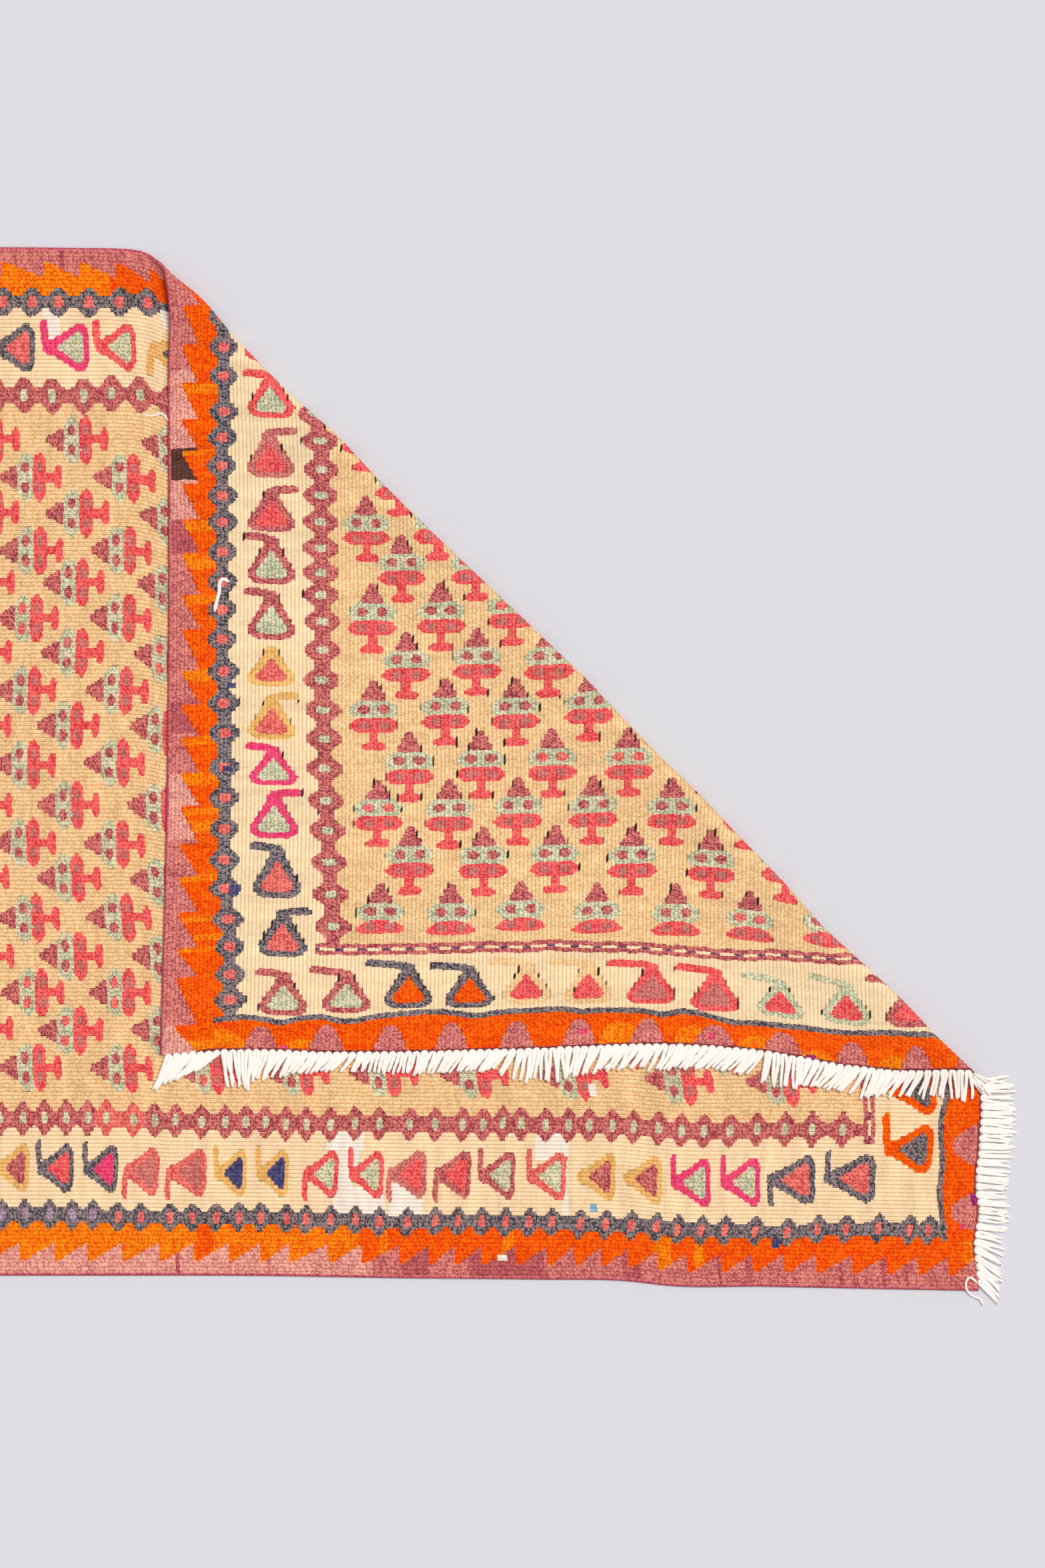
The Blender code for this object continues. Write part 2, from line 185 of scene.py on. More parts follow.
def fold_section(run):
    """Reach, height and slope of the cloth's middle at a run past the line where it lifts."""
    turn = np.clip(run / ROLL_RADIUS, 0.0, math.pi + SLOPE_ANGLE)
    slide = np.clip(run - ROLL_LENGTH, 0.0, SLOPE_LENGTH)
    landing = np.clip((run - ROLL_LENGTH - SLOPE_LENGTH) / LANDING_RADIUS, 0.0, SLOPE_ANGLE)
    left = SLOPE_ANGLE - landing
    reach = np.minimum(run, 0.0) - np.maximum(run - FOLD_LENGTH, 0.0)
    reach = reach + ROLL_RADIUS * np.sin(turn) - slide * math.cos(SLOPE_ANGLE)
    reach = reach - LANDING_RADIUS * (math.sin(SLOPE_ANGLE) - np.sin(left))
    height = MIDDLE + ROLL_RADIUS * (1.0 - np.cos(turn)) - slide * math.sin(SLOPE_ANGLE)
    height = height - LANDING_RADIUS * (np.cos(left) - math.cos(SLOPE_ANGLE))
    return reach, height, turn - landing


def folded(x, y, lift):
    """Where a plan point lies once the corner is turned, at a lift above the cloth's middle."""
    across = (x + y) / ROOT2
    along = (x - y) / ROOT2
    reach, height, slope = fold_section(across - ROLL_START)
    reach = reach - lift * np.sin(slope)
    wave = smooth(FOLD_WAVE, (along - FOLD_WAVE_START) / MM) * MM
    reach = reach + wave * np.exp(-((reach - ROLL_EDGE) / FOLD_WAVE_REACH) ** 2)
    moved = ROLL_START + reach
    place = (moved + along) / ROOT2, (moved - along) / ROOT2, height + lift * np.cos(slope)
    return np.stack(place, axis=-1)


SETTLING_STEPS = 3


def plan(u, v):
    """Plan point at a distance from the right end and a share of the width from the top."""
    share = u / RUG_LENGTH
    y = -v * RUG_WIDTH
    for _ in range(SETTLING_STEPS):
        x = right_x(y) * (1.0 - share) + left_x(y) * share
        y = upper_y(x) * (1.0 - v) + lower_y(x) * v
    return x, y


def frame_shift():
    """From the plan's origin to the frame's."""
    low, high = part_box("rug")
    ends = left_x(np.linspace(0.0, -RUG_WIDTH, 200))
    return np.array([low.x - ends.min(), high.y, 0.0])


SHIFT = frame_shift()


def laid(u, v, lift):
    """A point of the folded cloth, in the frame."""
    x, y = plan(u, v)
    return folded(x, y, lift) + SHIFT


# ---- painting with yarn

RIBS = 258
PICK_MM = 0.5
HALVES = (0.37, 0.63)  # where a rib's two halves take their colours


def paint(chart, where, yarn):
    """Weave a yarn, or a row of yarns by distance, wherever a condition holds."""
    where = np.broadcast_to(where, chart.shape)
    yarn = YARN[yarn] if isinstance(yarn, str) else yarn
    chart[where] = np.broadcast_to(yarn, chart.shape)[where]


def near(chart, u, start, stop):
    """The part of the chart between two distances, whichever way the distances run."""
    inside = np.flatnonzero((u >= start) & (u <= stop))
    part = slice(inside[0], inside[-1] + 1) if len(inside) else slice(0, 0)
    return chart[:, part], u[part]


def striped(u, base, stretches):
    """Yarn at each distance: one yarn, with stretches of others laid over it."""
    yarns = np.full(len(u), YARN[base])
    for yarn, spans in stretches:
        for start, stop in spans:
            yarns[(u > start) & (u < stop)] = YARN[yarn]
    return yarns


def extended(places, pitch, last):
    """Places with more of them added at a pitch, up to the last one allowed."""
    row = [np.array(place, float).reshape(-1) for place in places]
    while row[-1][0] + pitch < last:
        row.append(np.array([row[-1][0] + pitch, *row[-1][1:]]))
    return np.array(row)


# ---- chains of lozenges

# A link: half widths at distances from its middle, as (mm, share), then its dot's half size
ROUND_LINK = (((0, 1.0), (3.4, 0.97), (5.4, 0.83), (7.4, 0.66), (9, 0.52), (10.5, 0.42), (13, 0.4)),
              3.6, 1.6)
NARROW_LINK = (((0, 1.0), (2.2, 0.96), (3.0, 0.82), (4.6, 0.76), (5.4, 0.6), (7.2, 0.54),
                (8.2, 0.44), (13, 0.42)), 2.8, 1.5)
BROAD_LINK = (((0, 1.0), (3.6, 0.96), (4.6, 0.8), (7.4, 0.7), (8.6, 0.5), (10.5, 0.43),
               (13, 0.42)), 4.3, 1.45)
DOT_SHOULDER, DOT_NARROWING = 0.62, 0.67  # where a dot narrows towards its sides, and to what

# Middles of the links in the photo: (distance, rib)
UPPER_SLATE = (
    (47, 17), (71, 16.8), (97, 16.5), (123, 16), (152, 15), (179, 14.7), (208, 14.5), (237, 14.3),
    (266, 14.2), (298, 14.2), (326, 14), (356, 14), (386, 13.4), (414, 13.5), (440, 13.6), (468, 13.5),
    (496, 13.7), (521, 13.7), (549, 13.4), (576, 13.8), (601, 14.3), (635, 14.6), (662, 14.4),
    (690, 13.6), (723, 12.6), (758, 12.3), (785, 13.4), (814, 13.8), (843, 13.6), (868, 13.6),
    (895, 13.5),
)
LOWER_SLATE = (
    (44, 243.3), (62, 243.2), (91, 243), (121, 243.4), (147, 243.6), (175, 244.6), (205, 244.2),
    (233, 244), (255, 244), (277, 243.9), (297, 243.8), (320, 244), (344, 244.1), (368, 244.1),
    (394, 243.6), (415, 243.8), (437, 243.8), (459, 243.7), (481, 243.7), (502, 243.7), (528, 244),
    (554, 244), (576, 243.6), (599, 243.8), (622, 243.8), (640, 243.6), (664, 243.2), (684, 243.2),
    (705, 243.3), (727, 243.4), (748, 243.4), (775, 243.6), (796, 243.5), (819, 243), (838, 243),
    (859, 242.8), (882, 242.8), (903, 243),
)
UPPER_WINE = (
    (118, 42.3), (148, 41.5), (178, 41), (208, 40.4), (236, 40), (266, 39.6), (294, 39.5), (321, 39.2),
    (349, 38.8), (377, 39), (404, 39), (429, 38.7), (450, 38.7), (473, 38.7), (498, 38.7), (523, 38.8),
    (547, 39), (574, 38.8), (600, 38), (628, 37.2), (656, 36.8), (684, 36.5), (712, 36.3), (739, 36.3),
    (767, 36.5), (794, 36.6), (820, 37.2), (850, 37.2), (876, 37), (903, 37),
)
LOWER_WINE = (
    (127, 218.5), (155, 218.5), (180, 218.7), (206, 218.8), (231, 219), (255, 219), (276, 218.9),
    (297, 218.8), (320, 219), (340, 219), (361, 219), (380, 219), (401, 219), (424, 218.8), (441, 218.6),
    (459, 219), (478, 219), (503, 219), (527, 219), (555, 219), (577, 219), (600, 219.3), (622, 219.3),
    (641, 219.3), (660, 219), (678, 219), (697, 219), (719, 219), (743, 218.8), (762, 219), (782, 219),
    (807, 218.6), (824, 218.7), (844, 218.6), (864, 218.6), (884, 218.8), (905, 218.8),
)

# Chains: (links, their pitch past the photo, link, half width in ribs, mm from where to where)
UPPER_SLATES = (UPPER_SLATE, 27, BROAD_LINK, 3.8, 27, LENGTH_MM - 31)
LOWER_SLATES = (LOWER_SLATE, 22, NARROW_LINK, 3.7, 27, LENGTH_MM - 31)
UPPER_WINES = (UPPER_WINE, 27, ROUND_LINK, 4.5, 100, LENGTH_MM - 100)
LOWER_WINES = (LOWER_WINE, 21, NARROW_LINK, 4.4, 106, LENGTH_MM - 100)
LILAC_DOTS = (("lilac", ((805, LENGTH_MM),)),)
CORAL_LINKS = (("coral", ((770, 818),)),)


def links(chain):
    """Middles of a chain's links as far as it goes."""
    places, pitch, *_, stop = chain
    return extended(places, pitch, stop)


def middle_line(chain, u):
    """Rib on which a chain runs, at each distance."""
    return table(links(chain), u)


def paint_chain(chart, u, v, chain, yarns, dots):
    """A row of lozenges with steps, each with a dot."""
    _, _, (half_widths, dot_length, dot_height), swell, start, stop = chain
    places = links(chain)[:, 0]
    away = np.abs(u[:, None] - places).min(axis=1)
    across = np.abs(v - middle_line(chain, u))
    along = (u > start) & (u < stop)
    paint(chart, (across < table(half_widths, away) * swell) & along, yarns)
    narrowing = np.where(across < DOT_SHOULDER * dot_height, 1.0, DOT_NARROWING)
    paint(chart, (across < dot_height) & (away < dot_length * narrowing) & along, dots)


def paint_chains(chart, u, v):
    """The four chains, two along each side."""
    dots = striped(u, "coral", LILAC_DOTS)
    paint_chain(chart, u, v, UPPER_SLATES, "slate", "coral")
    paint_chain(chart, u, v, LOWER_SLATES, "slate", dots)
    paint_chain(chart, u, v, UPPER_WINES, "burgundy", "sage")
    paint_chain(chart, u, v, LOWER_WINES, striped(u, "burgundy", CORAL_LINKS), "sage")


# ---- botehs

# A boteh from its flat end: (mm, half width in ribs) of its body and of its filling
BOTEH_BODY = ((-0.1, 0), (0, 3.4), (2, 4.9), (5, 5.9), (10, 6.1), (14, 5.4), (20, 4.2), (26, 3.1),
              (32, 2.2), (38, 1.6), (41, 1.0), (41.1, 0))
BOTEH_HEART = ((5, 0), (5.1, 3), (8, 4), (11, 3.9), (16, 2.9), (22, 1.5), (28, 0.4), (28.1, 0))
BOTEH_LENGTH = 36.0  # mm to the tail, for which those sizes are given
BOTEH_REACH = 52.0  # mm to the end of any tail
# The tail: mm by which it slants for each rib, ribs where it starts, mm of it in the body, and
# how its two ends are rounded
TAIL_SLANT = 0.35
TAIL_START = -1.5
TAIL_OVERLAP = 1.0
ROOT_ROUNDING, ROOT_RIBS = 0.55, 1.8
TIP_ROUNDING, TIP_RIBS = 1.6, 1.4
# Botehs: (distance, middle rib, mm to the tail, side of the tail, outline, filling)
UPPER_BOTEHS = (
    (88, 29.7, 39, 1, "slate", "coral"), (143, 28, 44, -1, "slate", "coral"),
    (199, 27, 39, 1, "magenta", "sage"), (249, 26.6, 32, -1, "magenta", "sage"),
    (292, 26.2, 37, 1, "ochre", "coral"), (342, 26, 33, 0, "ochre", "coral"),
    (386, 26, 40, -1, "burgundy", "sage"), (438, 26, 40, -1, "burgundy", "sage"),
    (487, 26, 36, 1, "burgundy", "red"), (538, 26, 41, 1, "mauve", "red"),
    (596, 26.6, 38, -1, "red", "sage"), (650, 26, 36, 1, "red", "sage"),
    (717, 24, 36, 1, "ochre", "slate"), (770, 24.8, 33, -1, "red", "sage"),
    (814, 25, 38, -1, "magenta", "sage"), (865, 25.2, 36, 1, "slate", "coral"),
    (914, 25.2, 34, -1, "burgundy", "sage"), (962, 25.2, 35, 1, "red", "sage"),
    (1010, 25.2, 35, 1, "ochre", "burgundy"), (1058, 25.2, 34, -1, "slate", "red"),
    (1106, 25.2, 35, -1, "magenta", "sage"), (1154, 25.2, 34, 1, "burgundy", "red"),
    (1202, 25.2, 35, -1, "mauve", "red"), (1248, 25.2, 33, 1, "red", "sage"),
)
LOWER_BOTEHS = (
    (93, 230.6, 42, -1, "slate", "coral"), (149, 231.3, 39, 1, "slate", "coral"),
    (200, 231.9, 32, -1, "magenta", "sage"), (246, 232, 32, -1, "magenta", "sage"),
    (291, 232, 31, 0, "ochre", "burgundy"), (334, 232, 31, 0, "ochre", "burgundy"),
    (380, 232, 32, -1, "coral", "sage"), (427, 231.8, 30, -1, "burgundy", "sage"),
    (468, 231.7, 30, 1, "burgundy", "red"), (509, 231.7, 32, 1, "mauve", "red"),
    (549, 232, 28, -1, "red", "sage"), (591, 232, 28, 1, "red", "sage"),
    (637, 232, 26, -1, "ochre", "navy"), (676, 232, 26, -1, "ochre", "navy"),
    (713, 232, 33, 1, "coral", "dusk"), (757, 232, 29, 1, "coral", "dusk"),
    (795, 231.5, 28, -1, "slate", "magenta"), (836, 231.3, 30, -1, "slate", "red"),
    (877, 231.2, 28, 0, "ochre", "burgundy"), (918, 231.2, 30, -1, "red", "sage"),
    (961, 231.2, 30, 1, "slate", "coral"), (1004, 231.2, 31, -1, "magenta", "sage"),
    (1047, 231.2, 30, 1, "burgundy", "sage"), (1090, 231.2, 30, 1, "mauve", "red"),
    (1133, 231.2, 31, -1, "coral", "sage"), (1176, 231.2, 30, -1, "ochre", "burgundy"),
    (1219, 231.2, 30, 1, "slate", "red"), (1259, 231.2, 28, -1, "burgundy", "red"),
)
SIDE_TAIL = 7.0  # ribs
UPPER_TAIL_MM, LOWER_TAIL_MM, END_TAIL_MM = 6.5, 4.4, 6.0


def paint_boteh(chart, u, v, flat, middle, length, side, tail, thick, outline, filling):
    """A rounded triangle with a flat end, and a tail that turns to one side past its apex."""
    scale = length / BOTEH_LENGTH
    chart, u = near(chart, u, flat - 1.0, flat + BOTEH_REACH * scale)
    s = (u - flat) / scale
    far = np.abs(v - middle)
    shape = far < table(BOTEH_BODY, s)
    if side:
        t = (v - middle) * side
        reach = BOTEH_LENGTH + TAIL_SLANT * np.maximum(t, 0.0)
        crown = reach + thick / scale - ROOT_ROUNDING * np.maximum(ROOT_RIBS - t, 0.0) ** 2
        crown = crown - TIP_ROUNDING * np.maximum(t - tail + TIP_RIBS, 0.0) ** 2
        shape = shape | ((t > TAIL_START) & (t < tail) & (s > reach - TAIL_OVERLAP) & (s < crown))
    paint(chart, shape, outline)
    paint(chart, far < table(BOTEH_HEART, s), filling)


def paint_side_botehs(chart, u, v):
    """A row of botehs along each side."""
    for botehs, thick in ((UPPER_BOTEHS, UPPER_TAIL_MM), (LOWER_BOTEHS, LOWER_TAIL_MM)):
        for flat, middle, length, side, outline, filling in botehs:
            paint_boteh(chart, u, v, flat, middle, length, side, SIDE_TAIL, thick, outline, filling)


# ---- trees

# A tree from its apex down: (mm, half width in ribs) of each part
TREE_RING = ((16.4, 0), (16.5, 2.8), (19, 3.8), (22, 5.2), (26, 6.1), (30, 6.0), (33, 5.2),
             (36, 3.6), (36.1, 0))
TREE_PEAK = ((-0.1, 0), (0, 0.5), (1.5, 1.0), (5, 1.1), (6, 1.7), (10.5, 1.9), (11.5, 2.6),
             (16, 3.0), (18.5, 2.8), (18.6, 0))
TREE_CAP = ((34.4, 0), (34.5, 4.0), (36.5, 5.2), (39, 5.8), (41, 6.2), (43, 6.1), (45.5, 5.3),
            (48, 4.3), (48.1, 0))
# Parts with curved ends: half width, then (ribs from the middle, mm) of each end
BARE_CAP = (6.2, ((0, 34.5), (2.5, 35), (4, 37), (5, 39), (6, 42.5)),
            ((0, 48), (4.5, 47.5), (6.2, 45)))
TREE_STEM = (1.05, ((0, 47),), ((0, 57),))
TREE_FOOT = (3.0, ((0, 55.5), (1, 56), (2, 57), (3, 59)), ((0, 64.5), (2, 64.5), (3, 62.5)))
# A pair of eyes: (ribs from the middle, mm, half width, half length)
RING_EYES = (2.5, 26.5, 1.45, 4.3)
CAP_EYES = (2.5, 41.5, 1.4, 4.0)
TREE_REACH = 66.0
# Apex of each column's first and last tree, and middle ribs near the right end and further on
EVEN_COLUMNS = (
    (158, 158), (256, 256), (348, 353), (441, 450), (524, 540), (607, 621), (687, 700), (768, 780),
    (855, 865), (940, 948), (1024, 1030), (1108, 1112), (1192, 1194), (1275, 1275),
)
ODD_COLUMNS = (
    (211, 210), (299, 303), (394, 404), (486, 497), (567, 582), (647, 660), (727, 740), (813, 820),
    (899, 903), (982, 986), (1066, 1069), (1150, 1152), (1234, 1234),
)
EVEN_RIBS = (
    (54, 72, 89.5, 108.5, 128.3, 147, 167, 183.5, 199),
    (48.5, 66.5, 84, 101.5, 120, 140, 158.5, 178, 196.5),
)
ODD_RIBS = (
    (61.8, 80, 98, 118, 138, 157, 174.5, 190.5, 206.5),
    (57.8, 76, 93, 111, 129.5, 149.5, 168.5, 187, 206),
)
ROWS_FROM, ROWS_TO = 158.0, 770.0  # distances to which the two rows of ribs belong
TREE_SCALES = ((450, 1.0), (760, 0.91))
BOW_SHARES = ((150, 1.0), (420, 0.0))  # how much of the end border's bend the columns share
APEX_STRAY, RIB_STRAY = 1.5, 0.25
SCALE_STRAYS = (0.97, 1.03)
CORAL_EYES = 0.18  # share of the trees


def between_ends(far, s, shape):
    """Where a part with curved ends lies."""
    half, front, back = shape
    return (far < half) & (s > table(front, far)) & (s < table(back, far))


def paint_eyes(chart, far, s, eyes, yarn):
    """Two ovals side by side."""
    rib, distance, half_width, half_length = eyes
    paint(chart, ((far - rib) / half_width) ** 2 + ((s - distance) / half_length) ** 2 < 1.0, yarn)


def paint_tree(chart, u, v, apex, middle, scale, whole, eyes):
    """A stepped peak, a ring with two eyes, a cap with two eyes, a stem and a foot."""
    chart, u = near(chart, u, apex - TREE_REACH * scale, apex + 1.0)
    s = (apex - u) / scale
    far = np.abs(v - middle)
    paint(chart, far < table(TREE_RING, s), "sage")
    paint(chart, far < table(TREE_PEAK, s), "burgundy")
    paint_eyes(chart, far, s, RING_EYES, eyes)
    cap = far < table(TREE_CAP, s) if whole else between_ends(far, s, BARE_CAP)
    paint(chart, cap, "red")
    paint_eyes(chart, far, s, CAP_EYES, "dusk")
    if whole:
        paint(chart, between_ends(far, s, TREE_STEM) | between_ends(far, s, TREE_FOOT), "red")


def paint_trees(chart, u, v, random):
    """Columns of trees, each column's trees between those of the next."""
    for columns, ribs in ((EVEN_COLUMNS, EVEN_RIBS), (ODD_COLUMNS, ODD_RIBS)):
        for number, (first, final) in enumerate(columns):
            share = np.clip((first - ROWS_FROM) / (ROWS_TO - ROWS_FROM), 0.0, 1.0)
            middles = (1.0 - share) * np.array(ribs[0]) + share * np.array(ribs[1])
            whole = ribs is ODD_RIBS or number > 0
            for middle in middles:
                along = (middle - middles[0]) / (middles[-1] - middles[0])
                bow = (table(GUARD_LINE, middle) - GUARD_LINE[0][1]) * table(BOW_SHARES, first)
                apex = first + (final - first) * along + bow
                apex += random.uniform(-APEX_STRAY, APEX_STRAY)
                eyes = "coral" if random.random() < CORAL_EYES else "burgundy"
                rib = middle + random.uniform(-RIB_STRAY, RIB_STRAY)
                scale = table(TREE_SCALES, first) * random.uniform(*SCALE_STRAYS)
                paint_tree(chart, u, v, apex, rib, scale, whole, eyes)


# ---- the borders of the ends

# Ribs across an end and the distances of its lines: the dark line, and the guard of links
SLATE_LINE = (
    (10, 27), (14, 29), (20, 31), (25, 29), (30, 26), (35, 31), (40, 33), (44, 30), (48, 29), (52, 33),
    (57, 35), (65, 37), (70, 37), (75, 34), (79, 32), (85, 35.5), (90, 36), (100, 36.5), (105, 33),
    (110, 33.5), (115, 33), (120, 31.5), (125, 28), (130, 31.5), (135, 30), (140, 25.5), (143, 23.5),
    (147, 25), (155, 26), (160, 28), (165, 29), (170, 30), (175, 32), (180, 34), (185, 34.5), (190, 34),
    (197, 31), (204, 29), (208, 30), (212, 34), (216, 37), (220, 36), (224, 33.5), (228, 32), (232, 33),
    (236, 35), (240, 34), (243, 31), (247, 27),
)
GUARD_LINE = (
    (36, 96.5), (60, 96.5), (75, 96.5), (82, 97), (90, 95.5), (97, 97), (105, 94), (110, 93), (120, 91),
    (125, 89), (130, 88), (140, 87), (147, 88), (152, 92), (158, 95), (165, 98.5), (172, 101), (180, 103),
    (195, 104), (208, 104), (222, 101.5),
)
FAR_SLATE_LINE = ((10, 33), (247, 33))
FAR_GUARD_LINE = ((36, 96.5), (222, 96.5))
LINE_RIBS, GUARD_RIBS = (13, 246), (38, 222)  # from where to where they go
SLATE_HALF = 2.6
END_LINE = 1.9  # mm of the dark woven line at the very end
END_REACH = 115.0
# The guard: ribs from link to link, mm of half its width, and its core's dashes and joins
GUARD_PITCH = 5.9
GUARD_HALF, GUARD_SWELL = 5.3, 0.4
DASH_PHASE, DASH_HALF = 0.30, 1.3
JOIN_PHASE, JOIN_HALF = 0.36, 0.8
# Lighter yarn between the hills: (first rib, last rib, mm)
END_AMBERS = (
    (7.5, 21, 20), (30, 41, 11), (109, 120, 22), (128, 137, 18), (144, 155, 14), (160, 168, 9),
    (179, 188, 14),
)
# Mauve hills on the end line: (middle rib, mm, half width at the foot in ribs)
HILLS = (
    (24.8, 22, 4.4), (41.3, 25, 4.5), (57.2, 25, 4.4), (72.5, 26, 4.3), (88.7, 26, 4.4), (104.3, 26, 4.3),
    (121.4, 24, 4.4), (138.2, 20, 5.2), (155.3, 20, 5), (172.5, 22, 4.3), (188.7, 23, 3.9),
    (202.8, 24, 4.6), (222, 24, 5.4), (238.6, 25, 5),
)
HILL = ((0, 1), (0.25, 0.9), (0.5, 0.74), (0.75, 0.55), (0.92, 0.38), (1, 0.22), (1.01, 0))
# Botehs: (distance, middle rib, mm to the tail, ribs of the tail, outline, filling)
END_BOTEHS = (
    (33, 30.3, 36, 7, "burgundy", "sage"), (37, 46, 35, 9.5, "burgundy", "sage"),
    (41, 61.5, 37, 11, "slate", "orange"), (40, 76.7, 35, 10, "slate", "orange"),
    (42, 91, 36, 9.5, "tan", "red"), (40, 106.4, 36, 10, "tan", "red"),
    (38, 122.3, 34, 11.2, "red", "dusk"), (33, 138.3, 35, 10, "red", "dusk"),
    (34, 154.6, 31, 10, "sage", "red"), (38, 171.3, 36, 9.6, "sage", "red"),
    (40, 187.2, 38, 11, "burgundy", "red"), (41, 208.5, 38, 9.5, "orange", "slate"),
    (42, 223.2, 40, 9, "orange", "slate"),
)
# The far end's: distances of their flat ends, and the yarns of each two neighbours
FAR_FLATS = (40, 38, 39, 41, 40, 38, 39, 40, 40, 38, 40, 40, 40)
FAR_YARNS = (("slate", "red"), ("red", "sage"), ("burgundy", "sage"), ("ochre", "burgundy"),
             ("magenta", "sage"), ("slate", "orange"), ("mauve", "red"))
FAR_FIRST, FAR_PITCH = 31, 15.5  # ribs
FAR_LENGTHS = (36, 35)
FAR_TAILS = (8, 9, 9.5)  # the first ones, and all after them
FAR_BOTEHS = [(flat, FAR_FIRST + FAR_PITCH * k, FAR_LENGTHS[k % 2], FAR_TAILS[min(k, 2)],
               *FAR_YARNS[k // 2]) for k, flat in enumerate(FAR_FLATS)]


def paint_guard(chart, u, v, guard):
    """A line of links with a core of dashes."""
    away = np.abs(u - table(guard, v))
    first, last = GUARD_RIBS
    inside = (v > first) & (v < last)
    off_middle = np.abs((v - first) / GUARD_PITCH % 1.0 - 0.5)
    half = GUARD_HALF + GUARD_SWELL * np.cos(2.0 * np.pi * off_middle)
    paint(chart, (away < half) & inside, "burgundy")
    paint(chart, (off_middle < DASH_PHASE) & (away < DASH_HALF) & inside, "cream")
    paint(chart, (off_middle > JOIN_PHASE) & (away < JOIN_HALF) & inside, "navy")


def paint_end(chart, u, v, botehs, guard, line):
    """The border across an end, where u is the distance from that end."""
    chart, u = near(chart, u, 0.0, END_REACH)
    slate = table(line, v)
    between = (v > LINE_RIBS[0]) & (v < LINE_RIBS[1])
    paint(chart, (u < slate) & between, "orange")
    for first, final, height in END_AMBERS:
        arch = np.sqrt(np.clip((v - first) * (final - v), 0.0, None))
        paint(chart, (u < height * arch * 2.0 / (final - first)) & between, "amber")
    for middle, height, foot in HILLS:
        paint(chart, np.abs(v - middle) < foot * table(HILL, u / height), "mauve")
    paint(chart, (np.abs(u - slate) < SLATE_HALF) & between, "slate")
    for flat, middle, length, tail, outline, filling in botehs:
        paint_boteh(chart, u, v, flat, middle, length, -1, tail, END_TAIL_MM, outline, filling)
    paint_guard(chart, u, v, guard)
    paint(chart, u < END_LINE, "wine")


# ---- the long sides and worn places

# Distances of the points of the toothed bands along the sides
UPPER_TEETH = (
    26, 71, 98, 132, 165, 196, 231, 262, 296, 326, 358, 397, 429, 468, 500, 533, 564, 594, 629, 664, 700,
    728, 756, 789, 824, 857, 897,
)
LOWER_TEETH = (
    26, 54, 83, 115, 148, 178, 207, 236, 268, 295, 322, 347, 372, 397, 426, 458, 483, 507, 534, 569, 600,
    636, 663, 692, 725, 757, 791, 823, 854, 886,
)
TOOTH_PITCH = 32.0
TOOTH_TIP = 4.0  # mm by which a tip is cut off
TOOTH_CURVE = 0.9
TOOTH_END = LENGTH_MM - 31
TIP_RIB = 3.4  # ribs from the side to the band at a tip
UPPER_VALLEY = ((0, 8.8), (200, 8.0), (740, 7.4))  # and between tips: (distance, ribs)
LOWER_VALLEY = ((0, 8.0), (LENGTH_MM, 8.0))
# Colours along the sides: a yarn, then the stretches of others as (yarn, ((from, to), ...))
UPPER_BAND = ("mauve", (
    ("salmon", ((0, 26), (200, 262), (500, 537), (567, 640), (1060, 1200))),
    ("plum", ((300, 330), (468, 500), (838, 843), (1000, 1060))),
    ("brown", ((537, 567),)),
))
LOWER_BAND = ("mauve", (
    ("salmon", ((560, 654), (656, 690), (692, 738), (742, 905), (1060, LENGTH_MM))),
    ("plum", ((24, 26), (64, 67), (84, 89), (113, 115), (124, 126), (209, 214), (237, 240),
              (311, 328), (400, 470), (508, 532), (738, 742), (1010, 1060))),
))
UPPER_GROUND = ("orange", (
    ("amber", ((0, 12), (94, 98), (104, 110), (122, 127), (160, 166), (205, 217), (222, 228),
               (250, 262), (288, 296), (347, 358), (420, 428), (452, 468), (488, 498), (560, 565),
               (618, 627), (795, 905), (1100, 1112))),
))
LOWER_GROUND = ("orange", (
    ("amber", ((0, 10), (252, 260), (282, 296), (428, 438), (545, 552), (572, 706), (722, 905),
               (1000, 1020))),
))
SELVEDGE = 0.5  # ribs
# Bare wefts: boxes (from, to, first rib, last rib) where the cream is worn to white
BARE = (
    (569, 603, 220, 226), (572, 592, 226, 230), (578, 597, 229, 243), (549, 580, 235, 243),
    (514, 546, 232.5, 243), (379, 410, 220, 228), (379, 385, 228, 243), (841, 857, 14, 24),
)
# Small patches of another yarn, such as darns: (from, to, first rib, last rib, yarn)
FLECKS = (
    (353, 359, 239.3, 241.3, "sky"), (434, 443, 252, 253.5, "white"), (354, 361, 208.6, 211.6, "white"),
    (145, 155, 16, 18.5, "navy"), (181, 188, 246, 248.5, "navy"), (262, 267, 14, 16, "navy"),
    (340, 345, 15, 17, "navy"), (737, 747, 13, 16, "white"), (739, 744, 16, 18, "white"),
    (2, 5, 29.5, 31.5, "magenta"), (12, 16, 104, 106.5, "magenta"), (6, 12, 136.5, 138, "magenta"),
    (0, 4, 161, 163.5, "purple"), (0, 6, 234, 237, "purple"), (12, 16, 241.5, 243, "magenta"),
)


def saw(teeth, u, valley):
    """Ribs from the side to the toothed edge: sharp on the far side of each tip."""
    stops = np.concatenate(([0.0], extended(teeth, TOOTH_PITCH, TOOTH_END)[:, 0], [LENGTH_MM]))
    after = np.clip(np.searchsorted(stops, u), 1, len(stops) - 1)
    share = (stops[after] - u - TOOTH_TIP) / (stops[after] - stops[after - 1] - TOOTH_TIP)
    share = np.clip(share, 0.0, 1.0) ** TOOTH_CURVE
    return TIP_RIB + (table(valley, u) - TIP_RIB) * share


